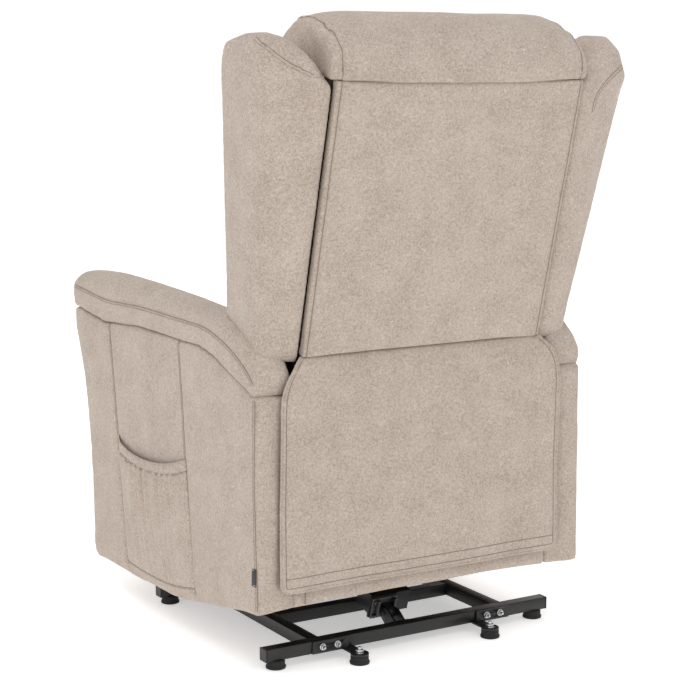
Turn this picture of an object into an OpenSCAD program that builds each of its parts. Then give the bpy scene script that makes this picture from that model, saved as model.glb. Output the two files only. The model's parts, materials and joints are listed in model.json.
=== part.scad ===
// Powered lift recliner chair: a steel floor frame, a lift linkage, a reclining wing back and a folding
// footrest. The chair faces -Y and stands on Z = 0. It is drawn part-raised: every joint is at zero there.

/* [Chair] */
// Forward tilt of the raised chair body, degrees
rest_tilt = 6; // [6:1:6]
// Half of the width over the arm panels
arm_outer = 371.5; // [371.5:0.5:372]
// Half of the width between the arms
arm_inner = 293.5; // [293:0.5:293.5]
// Half of the width of the seat cushion
seat_half_w = 289; // [280:1:289]
// Half of the width of the footrest pad
footrest_half_w = 286; // [280:1:286]

/* [Backrest] */
// Lean of the backrest from upright, degrees
back_lean = 20.5; // [20.5:0.5:20.5]
// Half of the width of the rear panel
panel_half_w = 271; // [268:1:271]
// Height of the bottom seam of the rear panel above the back hinge
panel_bottom = 217; // [215:1:220]
// Height of the top seam of the rear panel above the back hinge
panel_top = 740; // [735:1:740]
// Half of the width of the head pillow
pillow_half_w = 262; // [258:1:262]
// Sideways flare of a wing for each unit of height
wing_flare = 0.108; // [0.10:0.002:0.108]

/* [Floor frame] */
// Side of the square floor tube
tube = 25; // [25:1:25]
// Wall of the square tube
tube_wall = 2; // [1.5:0.5:3]
// Height of a foot
foot_h = 17; // [16:1:18]
// Radius of a foot
foot_r = 19; // [17:1:20]
// Half of the length of the rear floor tube
rear_tube_half = 328; // [325:1:328]
// Half of the length of the front floor tube
front_tube_half = 322; // [318:1:322]
// Outer face of the side tubes from the middle
side_tube_out = 229; // [229:1:229]

/* [Linkage] */
// Radius of the linkage pins
pin_r = 6; // [5:1:6]
// Running clearance round a pin
pin_gap = 0.05; // [0.03:0.01:0.08]
// Thickness of the lift arm bars
bar_t = 12; // [10:1:12]
// Depth of the lift arm bars
bar_d = 34; // [30:1:34]
// Clearance radius of the eyes that close a linkage loop
open_eye_r = 12; // [12:0.5:13]

/* [Hidden] */
$fn = 48;
soft_fn = 24;
y_shift = 313;        // moves the rear face of the rear floor tube behind the middle of the chair
rear_frame_y = 29;    // rear face of the moving lift frame
recline_tube_y = -350; // front face of the tube that carries the recline motor
actuator_x = 15;      // the lift actuator lies beside the middle plane

// Pivots on the floor frame, [y, z] from the rear face of the rear floor tube
lift_pivot = [-450, 75];
guide_pivot = [-380, 90];
motor_pivot = [-65, 48];
// Pivots of the part-raised linkage, in the same place
crank_pivot = [-450, 165];
lift_arm_len = 300;
lift_arm_angle = 17;
arm_end_pivot = lift_pivot + lift_arm_len * [cos(lift_arm_angle), sin(lift_arm_angle)];
guide_end_pivot = [2, 169];

// Pivots in the chair body, [y, z] of the upright chair
back_hinge = [-20, 330];
recline_motor_pivot = [recline_tube_y + 13, 215];
recline_lever_pivot = [6, 233.4];
legrest_pivot = [-560, 290];
legrest_knee = legrest_pivot + 205 * [cos(-80), sin(-80)];
board_pivot = [-655, 250];

// Planes across the chair, from the middle outwards
mech_plate_in = 285;
mech_plate_t = 4;
upper_link_in = 278;
lower_link_in = 271;
board_plate_in = 264;
link_t = 4.5;
back_plate_in = 276;
back_plate_t = 5;
lift_bar_in = 182;
pivot_plate_in = 198;
pivot_plate_t = 6;
guide_bar_in = 208;
guide_bar_t = 7;
guide_plate_in = 218;
guide_plate_t = 5;
frame_rail_out = 255;

tube_top = foot_h + tube;
front_tube_y = -504.5;
mid_tube_y = -209;
stabiliser_x = 153;
stabiliser_y = 48;
foot_spots = [[-303, -12.5], [303, -12.5], [-297, -492], [297, -492]];
bolt_offsets = [29, 62];
frame_z = 132;        // underside of the moving lift frame
deck_z = 290;         // underside of the wooden seat frame
deck_h = 30;

// Outlines in the side view, [y, z] of the upright chair
arm_outline = [[47, 52], [88, 453], [57, 469], [-5, 496], [-70, 527], [-128, 545], [-221, 554],
               [-408, 577], [-579, 584], [-738, 618], [-741, 568], [-716, 470], [-708, 402],
               [-705, 298], [-709, 192], [-718, 97], [-713, 74], [-698, 62], [-528, 46],
               [-408, 37], [-297, 30], [-105, 46], [-6, 53]];
pad_outline = [[88, 453.5], [94, 470], [90, 490], [62, 507], [27, 542], [-3, 567], [-50, 594],
               [-106, 612], [-181, 629], [-286, 646], [-453, 669], [-573, 684], [-701, 690],
               [-735, 682], [-750, 660], [-750, 636], [-738, 618.5], [-579, 584.5], [-408, 577.5],
               [-221, 554.5], [-128, 545.5], [-70, 527.5], [-5, 496.5], [57, 469.5]];
seat_outline = [[-105, 325], [-105, 405], [-130, 416], [-400, 452], [-640, 466], [-695, 455],
                [-715, 432], [-712, 410], [-660, 408], [-658, 325]];
pocket_outline = [[-538, 345], [-455, 313], [-386, 304], [-314, 304], [-212, 318], [-206, 60],
                  [-316, 50], [-422, 57], [-527, 69]];
pillow_outline = [[36, 741], [31, 780], [5, 812], [-50, 828], [-110, 822], [-158, 792], [-180, 720],
                  [-172, 620], [-150, 572], [-14, 572], [-14, 741]];

// ---- placing ----
// From the rear face of the rear floor tube to the part's own origin
module on_floor() { translate([0, y_shift, 0]) children(); }

// From the upright chair to the part-raised chair
module on_chair() {
    on_floor() translate([0, -297, 70.6]) rotate([rest_tilt, 0, 0]) translate([0, 297, -30]) children();
}

// From the backrest, whose Z runs up the leaning back from its hinge
module on_back() {
    on_chair() translate([0, back_hinge[0], back_hinge[1]]) rotate([-back_lean, 0, 0]) children();
}

module both_sides() { children(); mirror([1, 0, 0]) children(); }

// Extrudes a side view outline across the chair, from x on, by t
module across(x, t) { translate([x, 0, 0]) rotate([90, 0, 90]) linear_extrude(t) children(); }

// A round bar along X at [y, z], from x0 to x1
module rod_x(p, x0, x1, r) {
    translate([x0, p[0], p[1]]) rotate([0, 90, 0]) cylinder(r = r, h = x1 - x0);
}

// A flat link with round bosses at its ends and two eyes, in the side view
module link_2d(p, q, half_d, eye_p, eye_q) {
    v = q - p;
    a = atan2(v[1], v[0]);
    difference() {
        union() {
            translate(p) circle(half_d + 1.5);
            translate(q) circle(half_d + 1.5);
            translate(p) rotate(a) translate([0, -half_d]) square([norm(v), 2 * half_d]);
        }
        translate(p) circle(eye_p);
        translate(q) circle(eye_q);
    }
}

module square_tube(len) {
    difference() {
        cube([len, tube, tube]);
        translate([-1, tube_wall, tube_wall])
            cube([len + 2, tube - 2 * tube_wall, tube - 2 * tube_wall]);
    }
}

// A square tube along X, centred on the middle plane
module cross_tube(half, y, z) { translate([-half, y, z]) square_tube(2 * half); }

// A square tube along Y, from y0 to y1, with its inner face at x
module long_tube(x, y0, y1, z) { translate([x + tube, y0, z]) rotate([0, 0, 90]) square_tube(y1 - y0); }

// ---- floor frame ----
module base_rear_tube() { color("#1d1c1c") on_floor() cross_tube(rear_tube_half, -tube, foot_h); }

module base_front_tube() { color("#1d1c1c") on_floor() cross_tube(front_tube_half, front_tube_y, foot_h); }

module base_side_tubes() {
    color("#1d1c1c") on_floor() both_sides()
        long_tube(side_tube_out - tube, front_tube_y + tube, -tube, foot_h);
}

module base_mid_tube() {
    color("#1d1c1c") on_floor() cross_tube(side_tube_out - tube, mid_tube_y, foot_h);
}

module end_cap(x, y) {
    translate([x, y, foot_h]) union() {
        cube([3, tube, tube]);
        translate([-10, tube_wall, tube_wall])
            cube([10, tube - 2 * tube_wall, tube - 2 * tube_wall]);
    }
}

module tube_end_caps() {
    color("#161616") on_floor() both_sides() {
        end_cap(rear_tube_half, -tube);
        end_cap(front_tube_half, front_tube_y);
    }
}

// A rubber foot with a chamfered lower edge
module foot(h, r) {
    rotate_extrude() polygon([[0, 0], [r - 2, 0], [r, 2], [r, h], [0, h]]);
}

module base_feet() {
    color("#111111") on_floor() for (p = foot_spots) translate([p[0], p[1], 0]) foot(foot_h, foot_r);
}

// Angle bracket bolted to the rear face of the rear tube, with an arm that carries a foot
module stabiliser_bracket() {
    difference() {
        union() {
            translate([stabiliser_x - 2, 0, foot_h]) cube([80, 4, tube]);
            translate([stabiliser_x - 13, 0, foot_h]) cube([26, stabiliser_y, 4]);
            translate([stabiliser_x, stabiliser_y, foot_h]) cylinder(r = foot_r - 1, h = 4);
        }
        for (d = bolt_offsets)
            translate([stabiliser_x - 6 + d, -1, foot_h + tube / 2]) rotate([-90, 0, 0])
                cylinder(r = 3.2, h = 6);
        translate([stabiliser_x, stabiliser_y, foot_h - 1]) cylinder(r = 4.2, h = 6);
    }
}

module stabiliser_brackets() { color("#1d1c1c") on_floor() both_sides() stabiliser_bracket(); }

module stabiliser_feet() {
    color("#111111") on_floor() both_sides() translate([stabiliser_x, stabiliser_y, 0]) foot(foot_h, foot_r);
}

// Hexagon bolt with a washer; its shank points along -Z
module bolt(r, shank) {
    translate([0, 0, -shank]) cylinder(r = r, h = shank);
    cylinder(r = 2.3 * r, h = 1);
    translate([0, 0, 1]) cylinder(r = 1.9 * r, h = 1.3 * r, $fn = 6);
}

module stabiliser_bolts() {
    color("#c9c9c9") on_floor() both_sides() {
        for (d = bolt_offsets)
            translate([stabiliser_x - 6 + d, 4, foot_h + tube / 2]) rotate([-90, 0, 0]) bolt(3, 4);
        translate([stabiliser_x, stabiliser_y, foot_h + 4]) bolt(4, 4);
    }
}

// Forked clevis on the front face of the rear tube, which holds the lift motor's rear eye
module motor_clevis() {
    color("#1d1c1c") on_floor() {
        translate([actuator_x, 0, 0]) both_sides() across(9, 4) difference() {
            polygon([[-tube, 19], [-tube, 41], [-50, 58], [-76, 58], [-76, 38], [-50, 19]]);
            translate(motor_pivot) circle(5);
        }
        translate([actuator_x - 22, -tube - 3, 19]) cube([44, 3, 22]);
        rod_x(motor_pivot, actuator_x - 16, actuator_x + 16, 5);
    }
}

module lift_pivot_brackets() {
    color("#1d1c1c") on_floor() both_sides() across(pivot_plate_in, pivot_plate_t) difference() {
        union() {
            polygon([[-479, foot_h], [-420, foot_h], [-434, 80], [-466, 80]]);
            translate(lift_pivot) circle(17);
        }
        translate(lift_pivot) circle(pin_r);
    }
}

module lift_pivot_pins() {
    color("#b8b8b8") on_floor() both_sides() {
        rod_x(lift_pivot, lift_bar_in - 7, pivot_plate_in + pivot_plate_t, pin_r);
        rod_x(lift_pivot, pivot_plate_in + pivot_plate_t, pivot_plate_in + pivot_plate_t + 4, pin_r + 4);
    }
}

module guide_brackets() {
    color("#1d1c1c") on_floor() both_sides() {
        across(guide_plate_in, guide_plate_t) union() {
            polygon([[-405, tube_top], [-355, tube_top], [-368, 92], [-392, 92]]);
            translate(guide_pivot) circle(13);
        }
        rod_x(guide_pivot, guide_bar_in - 3, guide_plate_in, pin_r);
    }
}

// ---- lift linkage ----
module lift_bars() {
    color("#262525") on_floor() both_sides() across(lift_bar_in, bar_t)
        link_2d(lift_pivot, arm_end_pivot, bar_d / 2, pin_r + pin_gap, pin_r + pin_gap);
}

// Tube that turns both bars together, with a forked crank for the lift actuator
module lift_torque_tube() {
    color("#262525") on_floor() {
        difference() {
            rod_x(lift_pivot, -lift_bar_in, lift_bar_in, 15);
            rod_x(lift_pivot, -lift_bar_in - 1, lift_bar_in + 1, 9);
        }
        translate([actuator_x, 0, 0]) both_sides() across(12, 5) difference() {
            union() {
                translate([lift_pivot[0] - 14, lift_pivot[1] + 14]) square([28, 76]);
                translate(crank_pivot) circle(14);
            }
            translate(crank_pivot) circle(4);
        }
        rod_x(crank_pivot, actuator_x - 19, actuator_x + 19, 4);
    }
}

module guide_links() {
    color("#262525") on_floor() both_sides() across(guide_bar_in, guide_bar_t)
        link_2d(guide_pivot, guide_end_pivot, 12, pin_r + pin_gap, 9);
}

// ---- linear actuators ----
// Points along the actuator: x is the distance from the rear eye
module along(p, q) {
    v = q - p;
    translate([0, p[0], p[1]]) rotate([atan2(v[1], v[0]), 0, 0]) rotate([0, 0, 90]) children();
}

// Gearbox with its rear eye, end plate and side-mounted motor can
module motor_housing() {
    difference() {
        union() {
            translate([-11, 0, 0]) rotate([90, 0, 0]) cylinder(r = 11, h = 16, center = true);
            translate([-11, -8, -11]) cube([30, 16, 22]);
            translate([14, -31, -23]) cube([6, 62, 46]);
            translate([20, -25, -22]) cube([52, 91, 44]);
            translate([72, 43, 0]) rotate([0, 90, 0]) cylinder(r = 22, h = 104);
        }
        translate([-11, 0, 0]) rotate([90, 0, 0]) cylinder(r = 5 + pin_gap, h = 20, center = true);
    }
}

module outer_tube(len) {
    translate([72, 0, 0]) rotate([0, 90, 0]) difference() {
        cylinder(r = 18, h = len);
        translate([0, 0, 4]) cylinder(r = 10.4, h = len);
    }
}

// Push rod with a clearance eye at its far end
module push_rod(len, inside) {
    difference() {
        union() {
            translate([len - inside, 0, 0]) rotate([0, 90, 0]) cylinder(r = 10, h = inside - 14);
            translate([len - 22, -8, -9]) cube([12, 16, 18]);
            translate([len, 0, 0]) rotate([90, 0, 0]) cylinder(r = 16, h = 16, center = true);
        }
        translate([len, 0, 0]) rotate([90, 0, 0]) cylinder(r = open_eye_r - 1.5, h = 20, center = true);
    }
}

lift_actuator_len = norm(crank_pivot - motor_pivot);
recline_actuator_len = norm(recline_lever_pivot - recline_motor_pivot);

module lift_motor_housing() {
    color("#1b1b1b") on_floor() translate([actuator_x, 0, 0])
        along(motor_pivot, crank_pivot) translate([11, 0, 0]) motor_housing();
}

module lift_outer_tube() {
    color("#2b2b2b") on_floor() translate([actuator_x, 0, 0])
        along(motor_pivot, crank_pivot) translate([11, 0, 0]) outer_tube(225);
}

module lift_rod() {
    color("#bfc2c4") on_floor() translate([actuator_x, 0, 0])
        along(motor_pivot, crank_pivot) push_rod(lift_actuator_len, 175);
}

module recline_motor_housing() {
    color("#1b1b1b") on_chair() along(recline_motor_pivot, recline_lever_pivot)
        translate([11, 0, 0]) motor_housing();
}

module recline_outer_tube() {
    color("#2b2b2b") on_chair() along(recline_motor_pivot, recline_lever_pivot)
        translate([11, 0, 0]) outer_tube(165);
}

module recline_rod() {
    color("#bfc2c4") on_chair() along(recline_motor_pivot, recline_lever_pivot)
        push_rod(recline_actuator_len, 140);
}

// ---- moving lift frame ----
module lift_frame() {
    color("#262525") on_chair() {
        both_sides() {
            long_tube(frame_rail_out - tube, -520, rear_frame_y - tube, frame_z);
            for (y = [-505, -130]) translate([frame_rail_out - tube, y, frame_z + tube])
                cube([tube, tube, deck_z - frame_z - tube]);
        }
        cross_tube(frame_rail_out, -545, frame_z);
        cross_tube(frame_rail_out - tube, -166, frame_z);
        cross_tube(mech_plate_in, rear_frame_y - tube, frame_z);
        cross_tube(mech_plate_in, recline_tube_y, frame_z + tube);
    }
}

// Plates under the lift frame that carry the lift bars and the guide links
arm_end_chair = [-154.2, 107.6];
guide_end_chair = [10.7, 96.6];
module frame_pivot_plates() {
    color("#262525") on_chair() both_sides() {
        across(pivot_plate_in, pivot_plate_t) difference() {
            union() {
                polygon([[-172, 107], [-168, frame_z], [-141, frame_z], [-136, 107]]);
                translate(arm_end_chair) circle(17);
            }
            translate(arm_end_chair) circle(pin_r);
        }
        across(guide_plate_in, guide_plate_t) difference() {
            union() {
                polygon([[-2, 97], [2, frame_z], [24, frame_z], [23, 97]]);
                translate(guide_end_chair) circle(12);
            }
            translate(guide_end_chair) circle(5);
        }
    }
}

module frame_pins() {
    color("#b8b8b8") on_chair() both_sides() {
        rod_x(arm_end_chair, lift_bar_in - 4, pivot_plate_in + pivot_plate_t, pin_r);
        rod_x(arm_end_chair, lift_bar_in - 7, lift_bar_in - 4, pin_r + 4);
        rod_x(guide_end_chair, guide_bar_in - 3, guide_plate_in + guide_plate_t, 5);
    }
}

// Side plates that carry the back hinge and the legrest
module mechanism_plates() {
    color("#262525") on_chair() both_sides() across(mech_plate_in, mech_plate_t) difference() {
        union() {
            polygon([[28, frame_z], [28, 300], [-2, 340], [-38, 340], [-70, 320], [-590, 318],
                     [-590, 272], [-470, 240], [-360, frame_z + tube], [-315, frame_z + tube],
                     [-300, 250], [-80, 250], [-20, frame_z]]);
            translate(back_hinge) circle(22);
            translate(legrest_pivot) circle(18);
        }
        translate(back_hinge) circle(pin_r);
        translate(legrest_pivot) circle(pin_r);
    }
}

module mechanism_pins() {
    color("#b8b8b8") on_chair() both_sides() {
        rod_x(back_hinge, back_plate_in - 4, mech_plate_in + mech_plate_t, pin_r);
        rod_x(back_hinge, back_plate_in - 7, back_plate_in - 4, pin_r + 3);
        rod_x(legrest_pivot, upper_link_in - 3, mech_plate_in + mech_plate_t, pin_r);
        rod_x(legrest_pivot, upper_link_in - 5, upper_link_in - 3, pin_r + 3);
    }
}

module seat_frame() {
    color("#c8a878") on_chair() {
        both_sides() translate([frame_rail_out - 23, -620, deck_z]) cube([25, 530, deck_h]);
        for (y = [-620, -112]) translate([-frame_rail_out + 23, y, deck_z])
            cube([2 * frame_rail_out - 46, 22, deck_h]);
    }
}

// Zigzag springs from the front rail of the seat frame to its rear rail
spring_pitch = 26;
spring_half_w = 20;
module zigzag_spring() {
    wire = 3.6;
    turns = 18;
    for (i = [0:turns]) translate([-spring_half_w, i * spring_pitch, 0])
        cube([2 * spring_half_w, wire, wire]);
    for (i = [0:turns - 1]) translate([(i % 2 == 0) ? spring_half_w - wire : -spring_half_w, i * spring_pitch, 0])
        cube([wire, spring_pitch + wire, wire]);
    for (y = [-38, turns * spring_pitch]) translate([-wire / 2, y, 0]) cube([wire, 40, wire]);
}

module seat_springs() {
    color("#8d8f91") on_chair() for (i = [-2:2]) translate([i * 95, -590, deck_z + deck_h]) zigzag_spring();
}

module seat_cushion() {
    color("#beb1a3") on_chair() across(-seat_half_w, 2 * seat_half_w) polygon(seat_outline);
}

// ---- arms ----
module arm() { across(arm_inner, arm_outer - arm_inner) polygon(arm_outline); }
module arm_pad() { across(arm_inner - 1, arm_outer - arm_inner + 5) polygon(pad_outline); }
module arm_left() { color("#beb1a3") on_chair() arm(); }
module arm_right() { color("#beb1a3") on_chair() mirror([1, 0, 0]) arm(); }
module arm_pad_left() { color("#cbbfb1") on_chair() arm_pad(); }
module arm_pad_right() { color("#cbbfb1") on_chair() mirror([1, 0, 0]) arm_pad(); }

// Open-topped pocket on the outside of the left arm
pocket_depth = 15;
pocket_cloth = 3.5;
module side_pocket() {
    color("#b3a697") on_chair() difference() {
        across(arm_outer, pocket_depth) polygon(pocket_outline);
        across(arm_outer - 1, pocket_depth - pocket_cloth + 1)
            polygon([[-532, 360], [-455, 360], [-218, 360], [-212, 66], [-316, 56], [-422, 63], [-521, 75]]);
    }
}

// Plain woven label in the rear seam of the left arm
module arm_label() {
    color("#22262a") on_chair() translate([arm_outer, 42, 107]) rotate([-6, 0, 0]) cube([1.2, 11, 34]);
}

module rear_rail() {
    color("#beb1a3") on_chair() translate([-arm_inner, rear_frame_y, 54]) cube([2 * arm_inner, 17, 86]);
}

// Cloth curtain that closes the back of the chair from the rear panel's bottom seam to the rear rail
flap_half_w = 318;
module rear_flap() {
    color("#beb1a3") on_chair() translate([0, 100, 520]) rotate([-4.5, 0, 0])
        rotate([90, 0, 0]) linear_extrude(4, center = true)
            polygon([[-panel_half_w, 0], [-292, -18], [-307, -40], [-315, -70], [-flap_half_w, -110],
                     [-flap_half_w, -420], [-302, -434], [302, -434], [flap_half_w, -420],
                     [flap_half_w, -110], [315, -70], [307, -40], [292, -18], [panel_half_w, 0]]);
}

// ---- power and handset ----
module control_box() {
    color("#232323") on_chair() translate([70, -160, frame_z + tube]) difference() {
        cube([120, 178, 46]);
        translate([40, 166, 10]) cube([40, 13, 26]);
    }
}

// Recessed mains inlet with three blades
module power_inlet() {
    color("#3a3a3a") on_chair() translate([110, 6, frame_z + tube + 10]) difference() {
        cube([40, 12, 26]);
        difference() {
            translate([6, 3, 5]) cube([28, 10, 16]);
            for (x = [12, 19, 26]) translate([x, 3, 9]) cube([2, 7, 8]);
        }
    }
}

module recline_motor_bracket() {
    color("#262525") on_chair() {
        both_sides() across(9, 4) difference() {
            translate([recline_tube_y, frame_z + 2 * tube]) square([tube, 40]);
            translate(recline_motor_pivot) circle(5);
        }
        rod_x(recline_motor_pivot, -16, 16, 5);
    }
}

// Open cradle on the outside of the right arm; the handset lifts out of it
cradle_y = -330;
cradle_z = 400;
module handset_cradle() {
    color("#2a2a2a") on_chair() translate([-arm_outer - 30, cradle_y, cradle_z]) difference() {
        cube([30, 68, 60]);
        translate([3, 4, 3]) cube([23, 60, 60]);
    }
}

// Handset with two button wells and a socket in its lower end
button_z = [92, 122];
module handset() {
    color("#343434") on_chair() translate([-arm_outer - 26, cradle_y + 6, cradle_z + 4]) difference() {
        cube([20, 56, 150]);
        for (z = button_z) translate([-1, 28, z]) rotate([0, 90, 0]) cylinder(r = 10, h = 6);
        translate([10, 28, -1]) cylinder(r = 4, h = 12);
    }
}

module button(z) {
    on_chair() translate([-arm_outer - 28.5, cradle_y + 34, cradle_z + 4 + z]) rotate([0, 90, 0])
        cylinder(r = 9.5, h = 5);
}
module button_up() { color("#d8d8d8") button(button_z[1]); }
module button_down() { color("#d8d8d8") button(button_z[0]); }

// ---- backrest ----
module back_frame() {
    color("#c8a878") on_back() {
        both_sides() translate([240, -12, 26]) cube([back_plate_in - 240, 26, 712]);
        for (z = [120, 420, 700]) translate([-240, -12, z]) cube([480, 26, 38]);
    }
}

// Hinge plates with the lever and the cross tube that the recline actuator pulls
module back_hinge_plates() {
    lever = [for (v = [recline_lever_pivot - back_hinge])
             [v[0] * cos(back_lean) - v[1] * sin(back_lean), v[0] * sin(back_lean) + v[1] * cos(back_lean)]][0];
    color("#262525") on_back() {
        both_sides() across(back_plate_in, back_plate_t) difference() {
            union() {
                translate([-18, 0]) square([36, 150]);
                circle(20);
                translate(lever) circle(16);
                rotate(atan2(lever[1], lever[0])) translate([0, -14]) square([norm(lever), 28]);
            }
            circle(pin_r + pin_gap);
        }
        rod_x(lever, -back_plate_in, back_plate_in, 4);
        both_sides() difference() {
            rod_x(lever, 12, back_plate_in, 12);
            rod_x(lever, 11, back_plate_in + 1, 4);
        }
    }
}

module back_panel() {
    color("#beb1a3") on_back() translate([-panel_half_w, 14.5, panel_bottom])
        cube([2 * panel_half_w, 22.5, panel_top - panel_bottom]);
}

module head_pillow() {
    color("#cbbfb1") on_back() across(-pillow_half_w, 2 * pillow_half_w) polygon(pillow_outline);
}

module lumbar_cushion() {
    color("#cbbfb1") on_back() across(-pillow_half_w, 2 * pillow_half_w)
        polygon([[-14, 326], [-14, 570], [-140, 570], [-160, 520], [-162, 400], [-142, 326]]);
}

module lower_back_cushion() {
    color("#cbbfb1") on_back() {
        across(-pillow_half_w, 2 * pillow_half_w)
            polygon([[-14, 200], [-14, 324], [-142, 324], [-156, 270], [-152, 200]]);
        across(-272, 544) polygon([[-14, 62], [-14, 200], [-152, 200], [-140, 120], [-118, 62]]);
    }
}

// Wing beside the head: [height, front, rear] of its sections up the back
wing_sections = [[226, -111, 3], [262, -113, 2], [480, -120, -4], [640, -130, -12], [712, -135, -18]];
wing_r = 12;
wing_out = 346;
module wing() {
    x_out = [for (s = wing_sections) wing_out + wing_flare * (s[0] - 214) - wing_r];
    hull() {
        for (i = [0:len(wing_sections) - 1], s = [wing_sections[i]]) {
            if (i != 0) translate([x_out[i], s[1], s[0]]) sphere(wing_r, $fn = 20);
            translate([x_out[i], s[2], s[0]]) sphere(wing_r, $fn = 20);
        }
        for (p = [[389, -116, 765], [386, -90, 778], [378, -60, 786], [380, -27, 770], [356, -28, 786],
                  [338, -24, 777], [319, -14, 762], [303, -8, 747]])
            translate(p) sphere(wing_r, $fn = 20);
        for (p = [[226, 0, 0], [262, -100, 0], [640, -112, 0], [724, -2, 0]])
            translate([back_plate_in + 1 + wing_r, p[1], p[0]]) sphere(wing_r, $fn = 20);
    }
}

module wing_left() { color("#c5b7a5") on_back() wing(); }
module wing_right() { color("#beb1a3") on_back() mirror([1, 0, 0]) wing(); }

// ---- footrest ----
module legrest_upper_links() {
    color("#262525") on_chair() {
        both_sides() across(upper_link_in, link_t)
            link_2d(legrest_pivot, legrest_knee, 14, pin_r + pin_gap, pin_r);
        rod_x((legrest_pivot + legrest_knee) / 2, -upper_link_in, upper_link_in, 8);
    }
}

module legrest_lower_links() {
    color("#262525") on_chair() both_sides() across(lower_link_in, link_t)
        link_2d(legrest_knee, board_pivot, 14, pin_r + pin_gap, pin_r);
}

// Knee pins, fixed in the upper links
module legrest_pins() {
    color("#b8b8b8") on_chair() both_sides() {
        rod_x(legrest_knee, lower_link_in - 2, upper_link_in + link_t, pin_r);
        rod_x(legrest_knee, lower_link_in - 4, lower_link_in - 2, pin_r + 3);
    }
}

module footrest_board() {
    color("#262525") on_chair() {
        both_sides() across(board_plate_in, link_t) difference() {
            union() {
                translate(board_pivot) circle(14);
                translate([-672, 236]) square([17, 28]);
                translate([-676, 170]) square([8, 160]);
            }
            translate(board_pivot) circle(pin_r + pin_gap);
        }
        color("#c8a878") translate([-footrest_half_w + 6, -690, 88]) cube([2 * footrest_half_w - 12, 14, 304]);
    }
}

module footrest_pad() {
    color("#cbbfb1") on_chair() across(-footrest_half_w, 2 * footrest_half_w)
        polygon([[-690.5, 82], [-690.5, 400], [-716, 400], [-730, 386], [-733, 240], [-730, 96], [-716, 82]]);
}

base_rear_tube();
base_front_tube();
base_side_tubes();
base_mid_tube();
tube_end_caps();
base_feet();
stabiliser_brackets();
stabiliser_feet();
stabiliser_bolts();
motor_clevis();
lift_pivot_brackets();
lift_pivot_pins();
guide_brackets();
lift_bars();
lift_torque_tube();
guide_links();
lift_motor_housing();
lift_outer_tube();
lift_rod();
lift_frame();
frame_pivot_plates();
frame_pins();
mechanism_plates();
mechanism_pins();
seat_frame();
seat_springs();
seat_cushion();
arm_left();
arm_right();
arm_pad_left();
arm_pad_right();
side_pocket();
arm_label();
rear_rail();
rear_flap();
control_box();
power_inlet();
recline_motor_bracket();
handset_cradle();
handset();
button_up();
button_down();
recline_motor_housing();
recline_outer_tube();
recline_rod();
back_frame();
back_hinge_plates();
back_panel();
head_pillow();
lumbar_cushion();
lower_back_cushion();
wing_left();
wing_right();
legrest_upper_links();
legrest_lower_links();
legrest_pins();
footrest_board();
footrest_pad();
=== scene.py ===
"""Looks of a powered lift recliner chair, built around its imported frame.

Every piece is placed in the upright chair or up the leaning back, in millimetres, and is then carried to the
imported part's own frame.
"""

import json
import math

import bmesh
import bpy
import numpy as np
from bpy.props import FloatProperty, FloatVectorProperty, PointerProperty
from mathutils import Matrix, Vector, noise
from mathutils.bvhtree import BVHTree


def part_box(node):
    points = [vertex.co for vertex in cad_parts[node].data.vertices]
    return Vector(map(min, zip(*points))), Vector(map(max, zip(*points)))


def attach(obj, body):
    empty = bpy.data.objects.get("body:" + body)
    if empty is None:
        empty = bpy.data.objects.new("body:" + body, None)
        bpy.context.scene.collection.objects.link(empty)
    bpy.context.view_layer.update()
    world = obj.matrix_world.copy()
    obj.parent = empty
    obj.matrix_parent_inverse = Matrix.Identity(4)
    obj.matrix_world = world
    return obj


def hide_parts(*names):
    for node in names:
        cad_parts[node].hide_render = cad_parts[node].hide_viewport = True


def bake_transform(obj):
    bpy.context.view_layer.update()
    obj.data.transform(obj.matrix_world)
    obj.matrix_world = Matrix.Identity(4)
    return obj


bl_info = {
    "name": "Lift Recliner Chair",
    "version": (1, 0, 0),
    "blender": (4, 5, 0),
    "location": "View3D > Sidebar > Recliner",
    "description": "Upholstery, frame finishes and stage of a powered lift recliner chair",
    "category": "Add Mesh",
}

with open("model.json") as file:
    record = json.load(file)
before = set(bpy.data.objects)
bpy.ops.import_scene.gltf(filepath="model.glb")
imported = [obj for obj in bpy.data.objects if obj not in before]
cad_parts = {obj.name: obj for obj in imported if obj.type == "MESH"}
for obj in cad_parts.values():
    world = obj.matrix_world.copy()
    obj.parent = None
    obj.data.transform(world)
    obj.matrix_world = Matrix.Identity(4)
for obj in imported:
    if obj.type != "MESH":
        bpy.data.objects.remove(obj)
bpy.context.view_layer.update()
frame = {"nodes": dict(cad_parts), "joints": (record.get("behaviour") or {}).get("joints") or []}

MM = 0.001
REST_TILT = math.radians(6)      # the part-raised chair leans forward
BACK_LEAN = math.radians(20.5)   # the backrest leans behind the upright chair
HINGE = Vector((0, -20, 330))    # back hinge in the upright chair, mm


def joint_of(name, key):
    """A joint's place or axis in the frame."""
    return Vector(next(joint[key] for joint in frame["joints"] if joint["name"] == name))


RECLINE_AT = joint_of("recline", "pos_m")
CHAIR = (Matrix.Translation(RECLINE_AT) @ Matrix.Rotation(REST_TILT, 4, "X")
         @ Matrix.Scale(MM, 4) @ Matrix.Translation(-HINGE))
BACK = Matrix.Translation(RECLINE_AT) @ Matrix.Rotation(REST_TILT - BACK_LEAN, 4, "X") @ Matrix.Scale(MM, 4)
FLOOR = Matrix.Scale(MM, 4)


def local_box(node, place):
    """Lowest and highest corner of a CAD node in the millimetres of a place such as CHAIR."""
    inverse = place.inverted()
    points = np.array([inverse @ v.co for v in frame["nodes"][node].data.vertices])
    return Vector(points.min(0)), Vector(points.max(0))


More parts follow.
